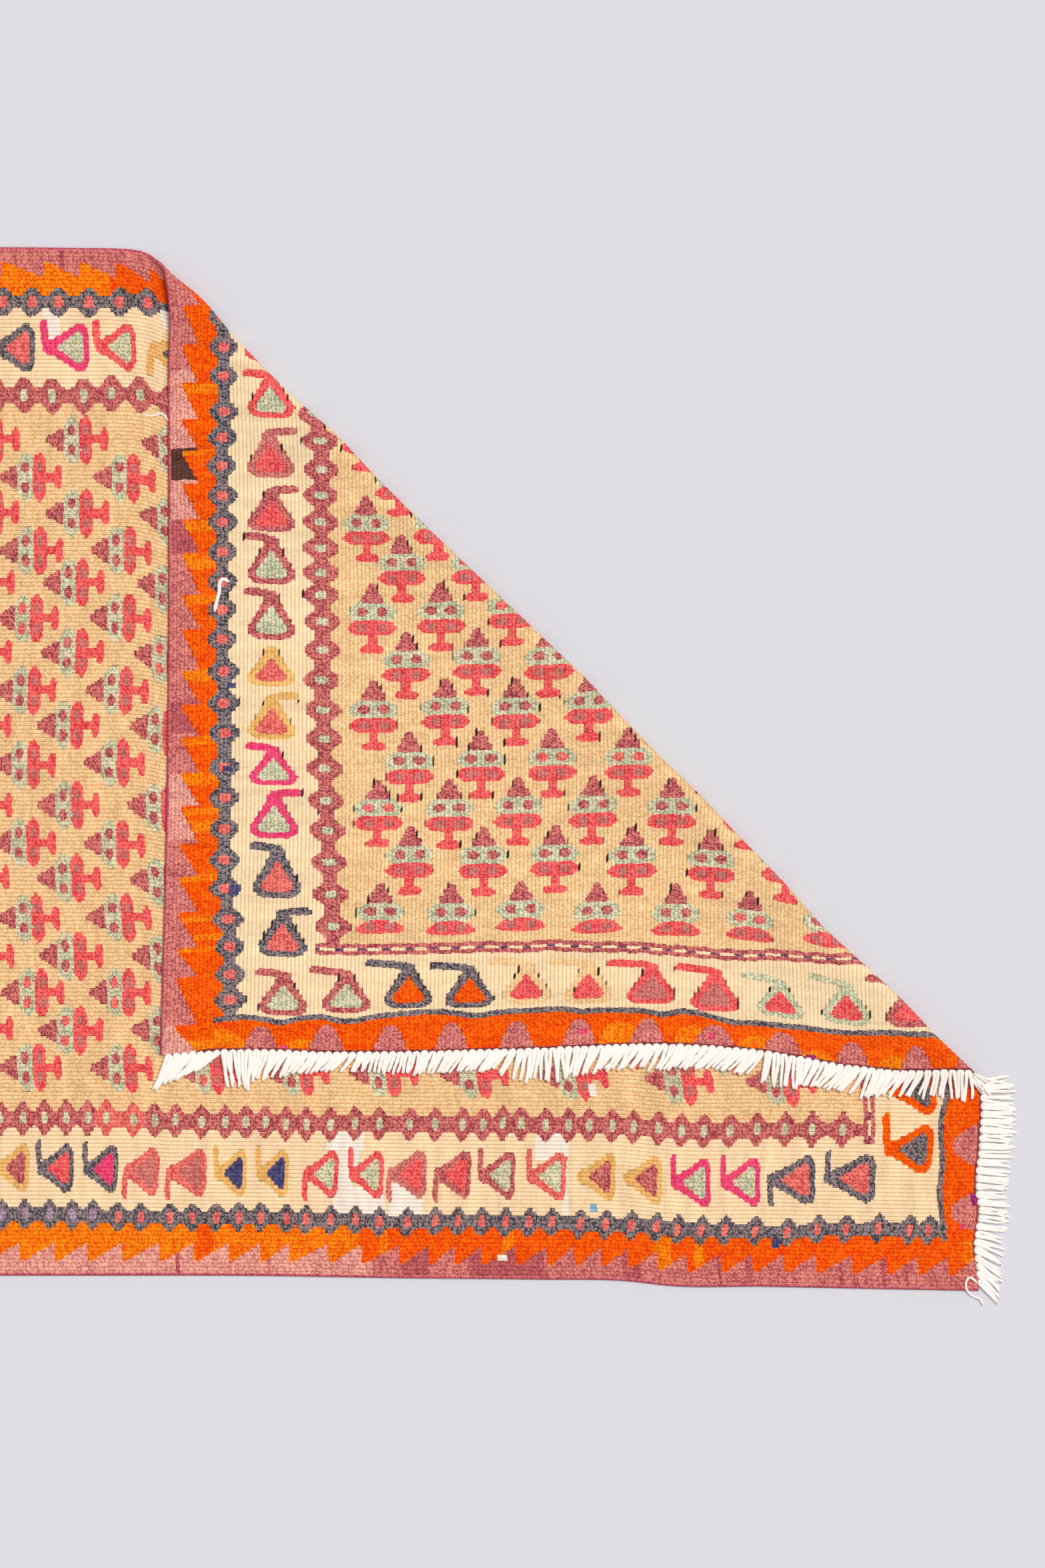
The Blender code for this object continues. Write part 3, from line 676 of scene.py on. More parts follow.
def paint_grounds(chart, u, v):
    """The cream field's surround and the orange grounds along the sides."""
    guard = table(GUARD_LINE, v)
    paint(chart, (v < middle_line(UPPER_WINES, u)) | (v > middle_line(LOWER_WINES, u)), "cream")
    paint(chart, (u < guard) | (u > LENGTH_MM - guard), "cream")
    paint(chart, v < middle_line(UPPER_SLATES, u), striped(u, *UPPER_GROUND))
    paint(chart, v > middle_line(LOWER_SLATES, u), striped(u, *LOWER_GROUND))


def paint_bands(chart, u, v):
    """The toothed bands and the selvedges."""
    paint(chart, v < saw(UPPER_TEETH, u, UPPER_VALLEY), striped(u, *UPPER_BAND))
    paint(chart, RIBS - v < saw(LOWER_TEETH, u, LOWER_VALLEY), striped(u, *LOWER_BAND))
    paint(chart, (v < SELVEDGE) | (v > RIBS - SELVEDGE), "rose")


def paint_wear(chart, u, v):
    """Bare wefts and darns."""
    for start, stop, first, final in BARE:
        worn = (u > start) & (u < stop) & (v > first) & (v < final)
        paint(chart, worn & (chart == YARN["cream"]), "white")
    for start, stop, first, final, yarn in FLECKS:
        paint(chart, (u > start) & (u < stop) & (v > first) & (v < final), yarn)


# ---- the chart

CHART_SEED, SLIT_SEED = 7, 11
WANDER_RIB = 0.9  # picks by which a rib's joins of two yarns stray
WANDER_HALF = 0.5  # and those of each half of a rib on their own
WANDER_PICKS = 18  # picks from one stray to the next


def strays(rows, picks, random):
    """For each row of picks, how far its joins of yarns stray from where they are drawn."""
    knots = np.arange(0, picks + WANDER_PICKS, WANDER_PICKS)
    heights = random.uniform(-1.0, 1.0, (rows, len(knots)))
    return np.stack([np.interp(np.arange(picks), knots, row) for row in heights])


def loosened(chart, random):
    """The chart with its joins of yarns as uneven as a weaver leaves them."""
    rows, picks = chart.shape
    moved = np.repeat(WANDER_RIB * strays(rows // 2, picks, random), 2, axis=0)
    moved = moved + WANDER_HALF * strays(rows, picks, random)
    at = np.clip(np.rint(np.arange(picks) + moved), 0, picks - 1).astype(int)
    return np.take_along_axis(chart, at, axis=1)


def make_chart():
    """The yarn of each pick: rows are half ribs, columns are picks from the right end."""
    random = np.random.default_rng(CHART_SEED)
    u = (np.arange(int(LENGTH_MM / PICK_MM)) + 0.5) * PICK_MM
    v = (np.arange(RIBS)[:, None] + np.array(HALVES)).reshape(-1, 1)
    chart = np.full((len(v), len(u)), YARN["tan"])
    paint_grounds(chart, u, v)
    paint_trees(chart, u, v, random)
    paint_side_botehs(chart, u, v)
    paint_end(chart, u, v, END_BOTEHS, GUARD_LINE, SLATE_LINE)
    paint_end(chart, LENGTH_MM - u, v, FAR_BOTEHS, FAR_GUARD_LINE, FAR_SLATE_LINE)
    paint_chains(chart, u, v)
    paint_bands(chart, u, v)
    paint_wear(chart, u, v)
    return loosened(chart, random)


# ---- meshes

BAKE_MAP = "OFBake"


def quads(grid):
    """Faces between the rows and columns of a grid of points."""
    corners = grid[:-1, :-1], grid[:-1, 1:], grid[1:, 1:], grid[1:, :-1]
    return np.stack(corners, axis=-1).reshape(-1, 4)


def build_mesh(name, points, groups, maps):
    """A mesh from groups of faces with the same number of corners.

    Each group is (corners, smooth), and maps holds a UV array for each group under each name.
    """
    mesh = bpy.data.meshes.new(name)
    corners = np.concatenate([faces.ravel() for faces, _ in groups])
    sizes = np.concatenate([np.full(len(faces), faces.shape[1]) for faces, _ in groups])
    shaded = np.concatenate([np.full(len(faces), is_smooth) for faces, is_smooth in groups])
    mesh.vertices.add(len(points))
    mesh.loops.add(len(corners))
    mesh.polygons.add(len(sizes))
    mesh.vertices.foreach_set("co", np.asarray(points, np.float32).ravel())
    mesh.loops.foreach_set("vertex_index", corners.astype(np.int32))
    starts = np.concatenate(([0], np.cumsum(sizes)[:-1]))
    mesh.polygons.foreach_set("loop_start", starts.astype(np.int32))
    for map_name, parts in maps.items():
        layer = mesh.uv_layers.new(name=map_name)
        flat = np.concatenate([part.reshape(-1, 2) for part in parts]).astype(np.float32)
        layer.data.foreach_set("uv", flat.ravel())
    mesh.update(calc_edges=True)
    mesh.polygons.foreach_set("use_smooth", shaded)
    return mesh


def add_piece(name, mesh, material, slot, *nodes):
    """Put a mesh in the scene as a piece that rides on the rug and stands for CAD nodes."""
    mesh.materials.append(material)
    piece = bpy.data.objects.new(name, mesh)
    bpy.context.scene.collection.objects.link(piece)
    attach(piece, "root")
    if nodes:
        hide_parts(*nodes)
    return piece


def set_values(mesh, name, domain, values):
    attribute = mesh.attributes.new(name, "FLOAT", domain)
    attribute.data.foreach_set("value", np.asarray(values, np.float32).ravel())


# ---- the cloth

# How the mesh of the cloth is divided
PANEL_EDGES = (0, 150, 330, 520, 710, 905, 1150, 1400)  # mm
COLUMN_STEPS = ((110, 5), (905, 7), (1401, 10))  # (mm up to which, picks)
FLAP_REACH_MM = 745.0  # the back shows up to here
LINES = 2 * RIBS + 1  # lines along the cloth, on each crest and in each valley

# Ribs of the cloth, as lifts from its middle
CREST_LIFT = 0.00185
VALLEY_LIFT = 0.00125
SIDE_LIFT = 0.0009
SIDE_BULGE = 0.0009  # share of the width
SLIT_DEPTH = 0.0005

# Slits, dark with painted shadow: how dark each is, and how far it gapes as (mm long, gape)
SLIT_SHADE = 0.22
SLIT_OPENS = ((2.8, 0), (4.4, 0.6), (5.2, 0.9), (6.4, 0.8), (7.4, 0.2), (14, 0.03))
SLIT_CHANCE = (-0.4, 1.1)  # share of that gape, nothing where it comes out below 0
PATTERN_SLITS = 0.2  # share where neither side is a ground
FLAT_SLITS = 0.3  # how far they gape where the cloth isn't turned
SLIT_ENDS = 2  # picks

# Places on the bake: the front below, the back above it, rims and caps in strips in the margins
BAKE_LEFT, BAKE_SPAN = 0.02, 0.96
FRONT_LOW, BACK_LOW, SHEET_SPAN = 0.012, 0.525, 0.463
UPPER_RIM, LOWER_RIM, RIM_STEP = 0.004, 0.986, 0.008
RIGHT_CAP, LEFT_CAP, CAP_STEP = 0.482, 0.504, 0.010


def stations(start, stop):
    """Distances in picks at which a panel's mesh has a line, finer near the end."""
    places = [start]
    while places[-1] < stop:
        step = next(size for edge, size in COLUMN_STEPS if places[-1] < edge / PICK_MM)
        places.append(places[-1] + step)
    if stop - places[-2] < 0.5 * step:
        places.pop(-2)
    places[-1] = stop
    return np.array(places)


def cell_yarns(chart, columns):
    """Yarn on the near and far side of each cell, and the distance where one turns to the other."""
    starts, stops = columns[:-1], columns[1:] - 1
    near_yarn, far_yarn = chart[:, starts], chart[:, stops].copy()
    turn = np.broadcast_to(columns[1:], near_yarn.shape).copy()
    found = np.zeros(near_yarn.shape, bool)
    for pick in range(1, (columns[1:] - columns[:-1]).max()):
        at = np.minimum(starts + pick, stops)
        fresh = ~found & (chart[:, at] != near_yarn)
        # A narrow stripe inside one cell runs on to the cell's end
        far_yarn = np.where(fresh & (far_yarn == near_yarn), chart[:, at], far_yarn)
        turn[fresh] = np.broadcast_to(at, turn.shape)[fresh]
        found |= fresh
    return near_yarn, far_yarn, turn * PICK_MM * MM


def slit_strengths(chart, columns, random):
    """How open the slit is at each line between ribs, where two yarns meet along a rib: the darkness of
    its painted shadow, and its depth.
    """
    strength = np.zeros((LINES, len(columns)))
    first, second = chart[1:-1:2], chart[2::2]
    meets = first != second
    grounds = np.isin(first, GROUNDS) | np.isin(second, GROUNDS)
    flap_reach = FLAP_REACH_MM - np.arange(1, RIBS) * RUG_WIDTH / MM / RIBS
    for rib, row in enumerate(meets):
        edges = np.flatnonzero(np.diff(np.concatenate(([0], row.astype(int), [0]))))
        line = strength[2 * rib + 2]
        for start, stop in edges.reshape(-1, 2):
            gape = table(SLIT_OPENS, (stop - start) * PICK_MM)
            if grounds[rib, start:stop].any():
                gape *= max(random.uniform(*SLIT_CHANCE), 0.0)
            else:
                gape *= PATTERN_SLITS
            if start * PICK_MM > flap_reach[rib]:
                gape *= FLAT_SLITS
            inside = (columns > start - SLIT_ENDS) & (columns < stop + SLIT_ENDS)
            line[inside] = np.maximum(line[inside], SLIT_SHADE + gape)
    return strength


class Panel:
    """One length of the cloth, a closed slab between two distances from the right end.

    Its points are a grid: the lines of the front, those of the back, then the two rims. The back
    has a line on each crest and valley where it shows, and one in each valley elsewhere.
    """

    def __init__(self, chart, columns, slits):
        self.step = 1 if columns[0] * PICK_MM < FLAP_REACH_MM else 2
        self.u = columns * PICK_MM * MM
        self.slits = self.rows(slits, slits, np.zeros((2, len(columns))))
        self.yarns = cell_yarns(chart, columns)
        self.ids = np.arange(self.slits.size).reshape(self.slits.shape)
        self.front, self.back, self.rims = np.split(self.ids, (LINES, len(self.ids) - 2))
        self.points = self.make_points(slits)
        self.parts = self.sheets() + self.sides() + self.caps()

    def rows(self, front, back, rims):
        """A value for every point, from those of the front's lines, the back's and the rims."""
        return np.concatenate((front, back[::self.step], rims))

    def make_points(self, slits):
        """Points of the folded slab, and their places on the flat cloth."""
        lines = np.arange(LINES)
        lift = np.where(lines % 2, CREST_LIFT, VALLEY_LIFT)[:, None] - SLIT_DEPTH * slits
        lift[[0, -1]] = SIDE_LIFT
        v = lines / (2.0 * RIBS)
        v = self.rows(v, v, (-SIDE_BULGE, 1.0 + SIDE_BULGE))
        v, u = np.meshgrid(v, self.u, indexing="ij")
        self.places = np.stack((u, v * RUG_WIDTH), axis=-1).reshape(-1, 2)
        return laid(u, v, self.rows(lift, -lift, np.zeros((2, len(self.u))))).reshape(-1, 3)

    def sheets(self):
        """Faces of the front and the back: (faces, smooth, how they lie on the bake)."""
        return [(quads(self.front), True, self.bake_sheet),
                (quads(self.back)[:, (0, 3, 2, 1)], True, self.bake_sheet)]

    def sides(self):
        """Faces along the selvedges."""
        front, back, (upper, lower) = self.front, self.back, self.rims
        strips = (upper, front[0]), (back[0], upper), (front[-1], lower), (lower, back[-1])
        return [(np.concatenate([quads(np.stack(strip)) for strip in strips]), True, self.bake_rim)]

    def caps(self):
        """Faces across the two ends, with an ear at each side."""
        groups = []
        for end in (0, -1):
            front, back, (upper, lower) = self.front[:, end], self.back[:, end], self.rims[:, end]
            last = len(front) - self.step
            corners = [front[k:last + k:self.step] for k in range(self.step + 1)]
            cap = np.stack((*corners, back[1:], back[:-1]), axis=-1)
            ears = np.array([(front[0], back[0], upper), (back[-1], front[-1], lower)])
            for faces in (cap, ears):
                groups.append((faces[:, ::-1] if end else faces, False, self.bake_cap))
        return groups

    def bake_sheet(self, along, down, layer):
        low = np.where(layer, BACK_LOW, FRONT_LOW)
        return BAKE_LEFT + BAKE_SPAN * down, low + SHEET_SPAN * along

    def bake_rim(self, along, down, layer):
        rim = np.where(down < 0.5, UPPER_RIM, LOWER_RIM)
        return rim + RIM_STEP * layer, BAKE_LEFT + BAKE_SPAN * along

    def bake_cap(self, along, down, layer):
        cap = np.where(along < 0.5, RIGHT_CAP, LEFT_CAP)
        return BAKE_LEFT + BAKE_SPAN * down.clip(0.0, 1.0), cap + CAP_STEP * layer

    def spots(self, faces, bake):
        """Places on the bake of the corners of some faces."""
        along = (self.places[faces][..., 0] - self.u[0]) / (self.u[-1] - self.u[0])
        down = self.places[faces][..., 1] / RUG_WIDTH
        return np.stack(bake(along, down, faces >= self.front.size), axis=-1)

    def face_values(self, layer, caps):
        """A value of the chart's cells on every face: the caps and rims have the nearest."""
        return np.concatenate((layer.ravel(), layer[::self.step].ravel(),
                               layer[0], layer[0], layer[-1], layer[-1], caps))

    def cap_yarns(self):
        """Yarns of the faces across the two ends."""
        yarns = []
        for end, layer in ((0, self.yarns[0]), (-1, self.yarns[1])):
            yarns += [layer[::self.step, end], layer[[0, -1], end]]
        return np.concatenate(yarns)

    def mark_ends(self, mesh):
        """Keep the lines where panels meet sharp, so that both sides shade alike."""
        at_end = np.zeros(self.ids.shape, bool)
        at_end[:, [0, -1]] = True
        edges = np.empty(2 * len(mesh.edges), np.int32)
        mesh.edges.foreach_get("vertices", edges)
        sharp = mesh.attributes.new("sharp_edge", "BOOLEAN", "EDGE")
        sharp.data.foreach_set("value", at_end.ravel()[edges.reshape(-1, 2)].all(axis=1))

    def mesh(self, name):
        groups = [(faces, smooth) for faces, smooth, _ in self.parts]
        maps = {"plan": [self.places[faces] for faces, _ in groups],
                BAKE_MAP: [self.spots(faces, bake) for faces, _, bake in self.parts]}
        mesh = build_mesh(name, self.points, groups, maps)
        near_yarn, far_yarn, turn = self.yarns
        caps = self.cap_yarns()
        set_values(mesh, "yarn_a", "FACE", self.face_values(near_yarn, caps))
        set_values(mesh, "yarn_b", "FACE", self.face_values(far_yarn, caps))
        set_values(mesh, "turn", "FACE", self.face_values(turn, np.zeros(len(caps))))
        set_values(mesh, "slit", "POINT", self.slits)
        set_values(mesh, "front", "POINT", self.ids < self.front.size)
        self.mark_ends(mesh)
        return mesh


def make_cloth(material):
    """The cloth's seven lengths, each with its flat length."""
    chart = make_chart()
    random = np.random.default_rng(SLIT_SEED)
    panels = []
    for number, (start, stop) in enumerate(zip(PANEL_EDGES, PANEL_EDGES[1:])):
        name = f"cloth_{number}"
        columns = stations(int(start / PICK_MM), int(stop / PICK_MM))
        mesh = Panel(chart, columns, slit_strengths(chart, columns, random)).mesh(name)
        panels.append((add_piece(name, mesh, material, "wool", "rug"), (stop - start) * MM))
    return panels


# ---- yarn

YARN_SIDES = 8


def tube(path, radii, lobes, twist):
    """Rings of points of a two-ply yarn along a path."""
    ahead = np.gradient(path, axis=0)
    ahead /= np.linalg.norm(ahead, axis=1)[:, None]
    side = np.cross((0.0, 0.0, 1.0), ahead)
    side /= np.linalg.norm(side, axis=1)[:, None]
    up = np.cross(ahead, side)
    run = np.concatenate(([0.0], np.cumsum(np.linalg.norm(np.diff(path, axis=0), axis=1))))
    angle = np.arange(YARN_SIDES) * 2.0 * math.pi / YARN_SIDES
    swell = 1.0 + lobes * np.cos(2.0 * (angle[None, :] - twist * run[:, None]))
    ring = (np.cos(angle)[None, :, None] * side[:, None, :]
            + np.sin(angle)[None, :, None] * up[:, None, :])
    return path[:, None, :] + ring * (radii[:, None] * swell)[..., None]


def bake_square(number, count, sections):
    """Grid of places on the bake for one of many yarns, in its own square."""
    wide = math.ceil(math.sqrt(count))
    left, low = (number % wide + 0.05) / wide, (number // wide + 0.05) / wide
    along, around = np.meshgrid(np.linspace(0.0, 1.0, sections),
                                np.linspace(0.0, 1.0, YARN_SIDES + 1), indexing="ij")
    return np.stack((left + 0.9 / wide * along, low + 0.9 / wide * around), axis=-1)


def yarn_mesh(name, tubes):
    """One mesh of many tubes, closed at both ends."""
    walls, ends, wall_spots, end_spots = [], [], [], []
    first = 0
    for number, rings in enumerate(tubes):
        ids = first + np.arange(len(rings) * YARN_SIDES).reshape(-1, YARN_SIDES)
        first += ids.size
        walls.append(quads(np.column_stack((ids, ids[:, 0]))))
        ends.append(np.array([ids[0, ::-1], ids[-1]]))
        square = bake_square(number, len(tubes), len(rings))
        cells = quads(np.arange(square.size // 2).reshape(square.shape[:2]))
        wall_spots.append(square.reshape(-1, 2)[cells])
        end_spots.append(np.broadcast_to(square[0, 0], (2, YARN_SIDES, 2)))
    points = np.concatenate([rings.reshape(-1, 3) for rings in tubes])
    groups = [(np.concatenate(walls), True), (np.concatenate(ends), True)]
    spots = [np.concatenate(wall_spots), np.concatenate(end_spots)]
    return build_mesh(name, points, groups, {BAKE_MAP: spots})


# ---- fringes

# Strands along the right end and the far end: (mm along it, lean in degrees, mm long)
RIGHT_STRANDS = (
    (0, -20, 32), (12, -22, 34), (37, -35, 34), (61, -50, 31), (66, 10, 34), (76, 9, 34), (88, -7, 36),
    (105, -14, 28), (130, -30, 27), (176, -38, 21), (204, -16, 18), (234, -10, 22), (265, -24, 22),
    (327, -34, 24), (343, -9, 30), (375, 3, 32), (395, -14, 28), (438, -33, 27), (469, -24, 26),
    (531, -42, 26), (561, -38, 28), (570, -8, 30), (590, -2, 30), (617, -25, 25), (640, -40, 28),
    (668, -18, 30), (690, -33, 28), (716, -20, 27), (729, -8, 25), (739, 0, 26), (750, 6, 29),
    (764, -28, 31), (771, -14, 31), (779, -3, 31), (788, 4, 30), (815, 3, 32), (834, 2, 32), (850, 8, 29),
    (875, 5, 29), (906, 6, 28), (920, 17, 27), (932, 30, 28), (945, 36, 28), (955, 44, 27), (964, 56, 23),
)
LEFT_STRANDS = (
    (0, -14, 27), (90, 6, 30), (210, -12, 29), (330, 4, 31), (480, 14, 28), (590, -5, 30), (720, 9, 31),
    (840, -8, 29), (950, 16, 27),
)
FLAP_SHARE_OF_ROLL = 0.36  # share of the roll's half turn where the flap's fringe begins
STRAND_PITCH = 0.0074
STRAND_TIP_SPACING = 0.0034
PIECE_GAP = 0.0005
END_CLEARANCE = 0.0020
MEETING_STEPS = 20

# Warp loops
LOOP_START = 0.0006  # from the cloth's end to the loop's bend
LOOP_HALF = 0.00185  # half the distance between a loop's legs
LEAN_CURVE = 1.2
LEG_SECTIONS = 10
BEND_SECTIONS = 5
YARN_LOBES = 0.10
YARN_TWIST = 420.0  # turns of the plies, in radians a metre
# Radius at the root and at the tip, how far the yarn strays, single ends on each loop
FAT_LOOK = (0.00205, 0.00145, 0.0024, 0)
FINE_LOOK = (0.00180, 0.00115, 0.0026, 2)
# How uneven they are: shares of the length, the stray and the rest, heights in mm
LEG_REACHES, LEG_BOW, LEG_SNAKE, LEG_RISE = (0.9, 1.08), 0.4, 0.2, 1.6
SINGLE_REACHES, SINGLE_STRAY, SINGLE_RISES = (0.8, 1.1), 1.5, (0.4, 1.6)
SINGLE_THICKNESS = 0.8
RADIUS_SHARES, TWIST_SHARES = (0.9, 1.1), (0.8, 1.2)


def strand_tips(strands, places):
    """How far each strand's tip lies out from the cloth and down along its end, unfolded."""
    distance, lean, length = np.array(strands).T
    lean = np.radians(np.interp(-places / MM, distance, lean))
    length = np.interp(-places / MM, distance, length) * MM
    down = -places + length * np.sin(lean)
    steps = STRAND_TIP_SPACING * np.arange(len(places))
    pushed_on = np.maximum.accumulate(down - steps) + steps
    pushed_back = np.minimum.accumulate((down - steps)[::-1])[::-1] + steps
    return length * np.cos(lean), (pushed_on + pushed_back) / 2.0 + places


def level_direction(start, stop):
    way = (stop - start) * (1.0, 1.0, 0.0)
    return way / np.linalg.norm(way)


class Root:
    """Where a loop leaves the cloth, the level ways out of it and along its end, and its tip."""

    def __init__(self, x, y, outward, out, down, rest):
        start = folded(x, y, 0.0)
        self.out = level_direction(start, folded(x + outward * MM, y, 0.0))
        self.along = level_direction(start, folded(x, y - MM, 0.0))
        self.base = start + SHIFT + self.out * LOOP_START
        self.reach = out - LOOP_START
        self.slip = down
        self.rest = rest

    def path(self, out, along, height):
        """Points at distances out of the cloth and along its end."""
        points = self.base + out[:, None] * self.out + along[:, None] * self.along
        points[:, 2] = height
        return points

    def sag(self, share):
        """Height of yarn that comes down from the cloth to rest."""
        return (self.base[2] - self.rest) * (1.0 - share) ** 2


def leg(root, side, stray, random):
    """One leg of a loop, from its bend to its free end: out, along, height."""
    share = np.linspace(0.0, 1.0, LEG_SECTIONS)
    reach = root.reach * random.uniform(*LEG_REACHES)
    slip = root.slip + random.uniform(-stray, stray)
    out = LOOP_HALF + (reach - LOOP_HALF) * share
    along = side * LOOP_HALF + slip * share ** LEAN_CURVE
    along = along + random.uniform(-LEG_BOW, LEG_BOW) * stray * np.sin(math.pi * share)
    along = along + random.uniform(-LEG_SNAKE, LEG_SNAKE) * stray * np.sin(2.0 * math.pi * share)
    rise = random.uniform(0.0, LEG_RISE) * MM * np.sin(math.pi * share ** 0.8)
    return out, along, root.rest + root.sag(share) + rise


def warp_loop(root, stray, random):
    """A warp loop turns round at the cloth's end, and its two legs hang free."""
    first, last = (leg(root, side, stray, random) for side in (-1.0, 1.0))
    bend = np.linspace(-math.pi / 2.0, math.pi / 2.0, BEND_SECTIONS + 2)[1:-1]
    turn = (LOOP_HALF * (1.0 - np.cos(bend)), LOOP_HALF * np.sin(bend),
            np.full(BEND_SECTIONS, root.base[2]))
    return root.path(*(np.concatenate((a[::-1], b, c)) for a, b, c in zip(first, turn, last)))


def single_strand(root, stray, random):
    """One more end of yarn that lies on a loop."""
    share = np.linspace(0.0, 1.0, LEG_SECTIONS)
    out = root.reach * random.uniform(*SINGLE_REACHES) * share
    start = random.uniform(-1.0, 1.0) * LOOP_HALF
    along = start + (root.slip + random.uniform(-SINGLE_STRAY, SINGLE_STRAY) * stray) * share
    return root.path(out, along, root.rest + random.uniform(*SINGLE_RISES) * MM + root.sag(share))


def make_fringe(name, node, span, strands, rest, outward, look, material, seed):
    """A row of two-ply warp loops along the cloth's end, their ends fanned as they lie."""
    random = np.random.default_rng(seed)
    root_radius, tip_radius, stray, singles = look
    upper, lower = span
    count = int((upper - lower) / STRAND_PITCH)
    margin = (upper - lower - count * STRAND_PITCH) / 2.0
    middles = upper - margin - (np.arange(count) + 0.5) * STRAND_PITCH
    edge = right_x(middles) if outward > 0.0 else left_x(middles)
    taper = np.linspace(root_radius, tip_radius, LEG_SECTIONS)
    loop_radii = np.concatenate((taper[::-1], np.full(BEND_SECTIONS, root_radius), taper))
    makings = [(warp_loop, loop_radii)] + [(single_strand, SINGLE_THICKNESS * taper)] * singles
    tubes = []
    for x, y, out, down in zip(edge, middles, *strand_tips(strands, middles)):
        root = Root(x, y, outward, out, down, rest + tip_radius)
        for make_path, radii in makings:
            path = make_path(root, stray, random)
            radii = radii * random.uniform(*RADIUS_SHARES)
            path[:, 2] = np.maximum(path[:, 2], rest + (1.0 + YARN_LOBES) * radii)
            twist = YARN_TWIST * random.uniform(*TWIST_SHARES)
            tubes.append(tube(path, radii, YARN_LOBES, twist))
    return add_piece(name, yarn_mesh(name, tubes), material, "cotton", node)


def right_span():
    """Where the right end's fringe starts and stops: just inside the cloth's two corners."""
    upper, lower = 0.0, -RUG_WIDTH
    for _ in range(MEETING_STEPS):
        upper = upper_y(right_x(upper))
        lower = lower_y(right_x(lower))
    return float(upper) - END_CLEARANCE, float(lower) + END_CLEARANCE


def fold_split():
    """Where the right end passes the share of the roll at which the flap's fringe begins."""
    total = (ROLL_START + ROLL_RADIUS * math.pi * FLAP_SHARE_OF_ROLL) * ROOT2
    x = 0.0
    for _ in range(MEETING_STEPS):
        x = right_x(total - x)
    return float(total - x)


def make_fringes(material):
    """The three fringes, each on the same stretch of an end as the CAD node it stands for."""
    upper, lower = right_span()
    split = fold_split()
    cloth_top = CLOTH_THICKNESS + PIECE_GAP
    far_span = -END_CLEARANCE, -RUG_WIDTH + END_CLEARANCE
    return [
        make_fringe("warp_loops_flap", "fringe_flap", (upper, split + PIECE_GAP), RIGHT_STRANDS,
                    cloth_top, 1.0, FAT_LOOK, material, 21),
        make_fringe("warp_loops_end", "fringe_end", (split - PIECE_GAP, lower), RIGHT_STRANDS,
                    0.0, 1.0, FINE_LOOK, material, 22),
        make_fringe("warp_loops_far", "fringe_far", far_span, LEFT_STRANDS,
                    0.0, -1.0, FAT_LOOK, material, 23),
    ]


# ---- materials

LIGHT = 0.98  # what a white surface sends to the camera
RAMP_STEPS = 32

# Beads of weft
BEAD_LENGTH = 0.00118
BEAD_SLANT = 0.7  # beads by which a weft goes on across a rib
BEAD_HEIGHT = 0.00012
BEAD_SHADE = 0.05
BEAD_END = 0.22  # where a bead's end begins, in beads from its middle
WAVERS, WAVER_STEP = 70.0, 0.37  # how the wefts waver: times a metre, and from rib to rib
WAVER_REACH = 3.0  # beads
STREAK_SIZE, STREAK_SHARE = (0.0022, 0.024), 0.5
TONES = (0.25, 0.72)  # span of the noise from the darker to the lighter beads
LOT_SIZE, LOT_SHADES = (0.011, 0.30), (0.90, 1.08)  # dye lots
GRAINS, GRAIN_SHADES = 38.0, (0.94, 1.04)
FIBRES = 2600.0  # a metre

# Painted shade between the ribs and painted shadow in the slits
VALLEY_FROM = 0.28  # ribs from a rib's middle
VALLEY_SHADE = 0.9
CROSSING_SHADE, CROSSING_END, CROSSING_SPECK = 0.4, 0.5, 0.4
VALLEY_SHADE_COLOUR = (205, 162, 124)
SLIT_SHADOW_COLOUR = (48, 32, 24)
SLIT_SPAN = (0.12, 0.62)
FRONT_TINT = (0.985, 0.95, 0.93)  # the front has yellowed a little, the back not

# Loose yarn and warp ends: their colour, and the painted shade between their fibres
COTTON_COLOUR, COTTON_SHADE = (255, 247, 239), (242, 226, 216)
YARN_FIBRES, YARN_PATCHES = 900.0, 60.0  # a metre
PATCH_SHARE = 0.3
FIBRE_HEIGHT = 0.0004


def linear(colour, light=1.0):
    """Linear colour for an sRGB one given in 0 to 255, as seen in a light."""
    values = np.array(colour) / 255.0
    values = np.where(values <= 0.04045, values / 12.92, ((values + 0.055) / 1.055) ** 2.4)
    return (*values / light, 1.0)


def operator(operation, swapped=False):
    """A method that turns a value and another one into a math node."""
    def method(self, *others):
        values = (*others, self) if swapped else (self, *others)
        return self.nodes.math(operation, *values)
    return method


class Value:
    """A node's output. Sums, products and the like of it are math nodes."""

    __add__ = operator("ADD")
    __sub__ = operator("SUBTRACT")
    __rsub__ = operator("SUBTRACT", swapped=True)
    __mul__ = operator("MULTIPLY")
    __truediv__ = operator("DIVIDE")
    __mod__ = operator("MODULO")
    __abs__ = operator("ABSOLUTE")

    def __init__(self, nodes, socket):
        self.nodes, self.socket = nodes, socket

    def split(self):
        """Its whole number and the rest of it."""
        return self.nodes.math("FLOOR", self), self.nodes.math("FRACT", self)

    def span(self, low, high, to_low=0.0, to_high=1.0):
        """A smooth step from one value to another as this one goes from low to high."""
        return self.nodes.put("ShaderNodeMapRange", {
            "Value": self, "From Min": low, "From Max": high, "To Min": to_low,
            "To Max": to_high}, interpolation_type="SMOOTHSTEP")


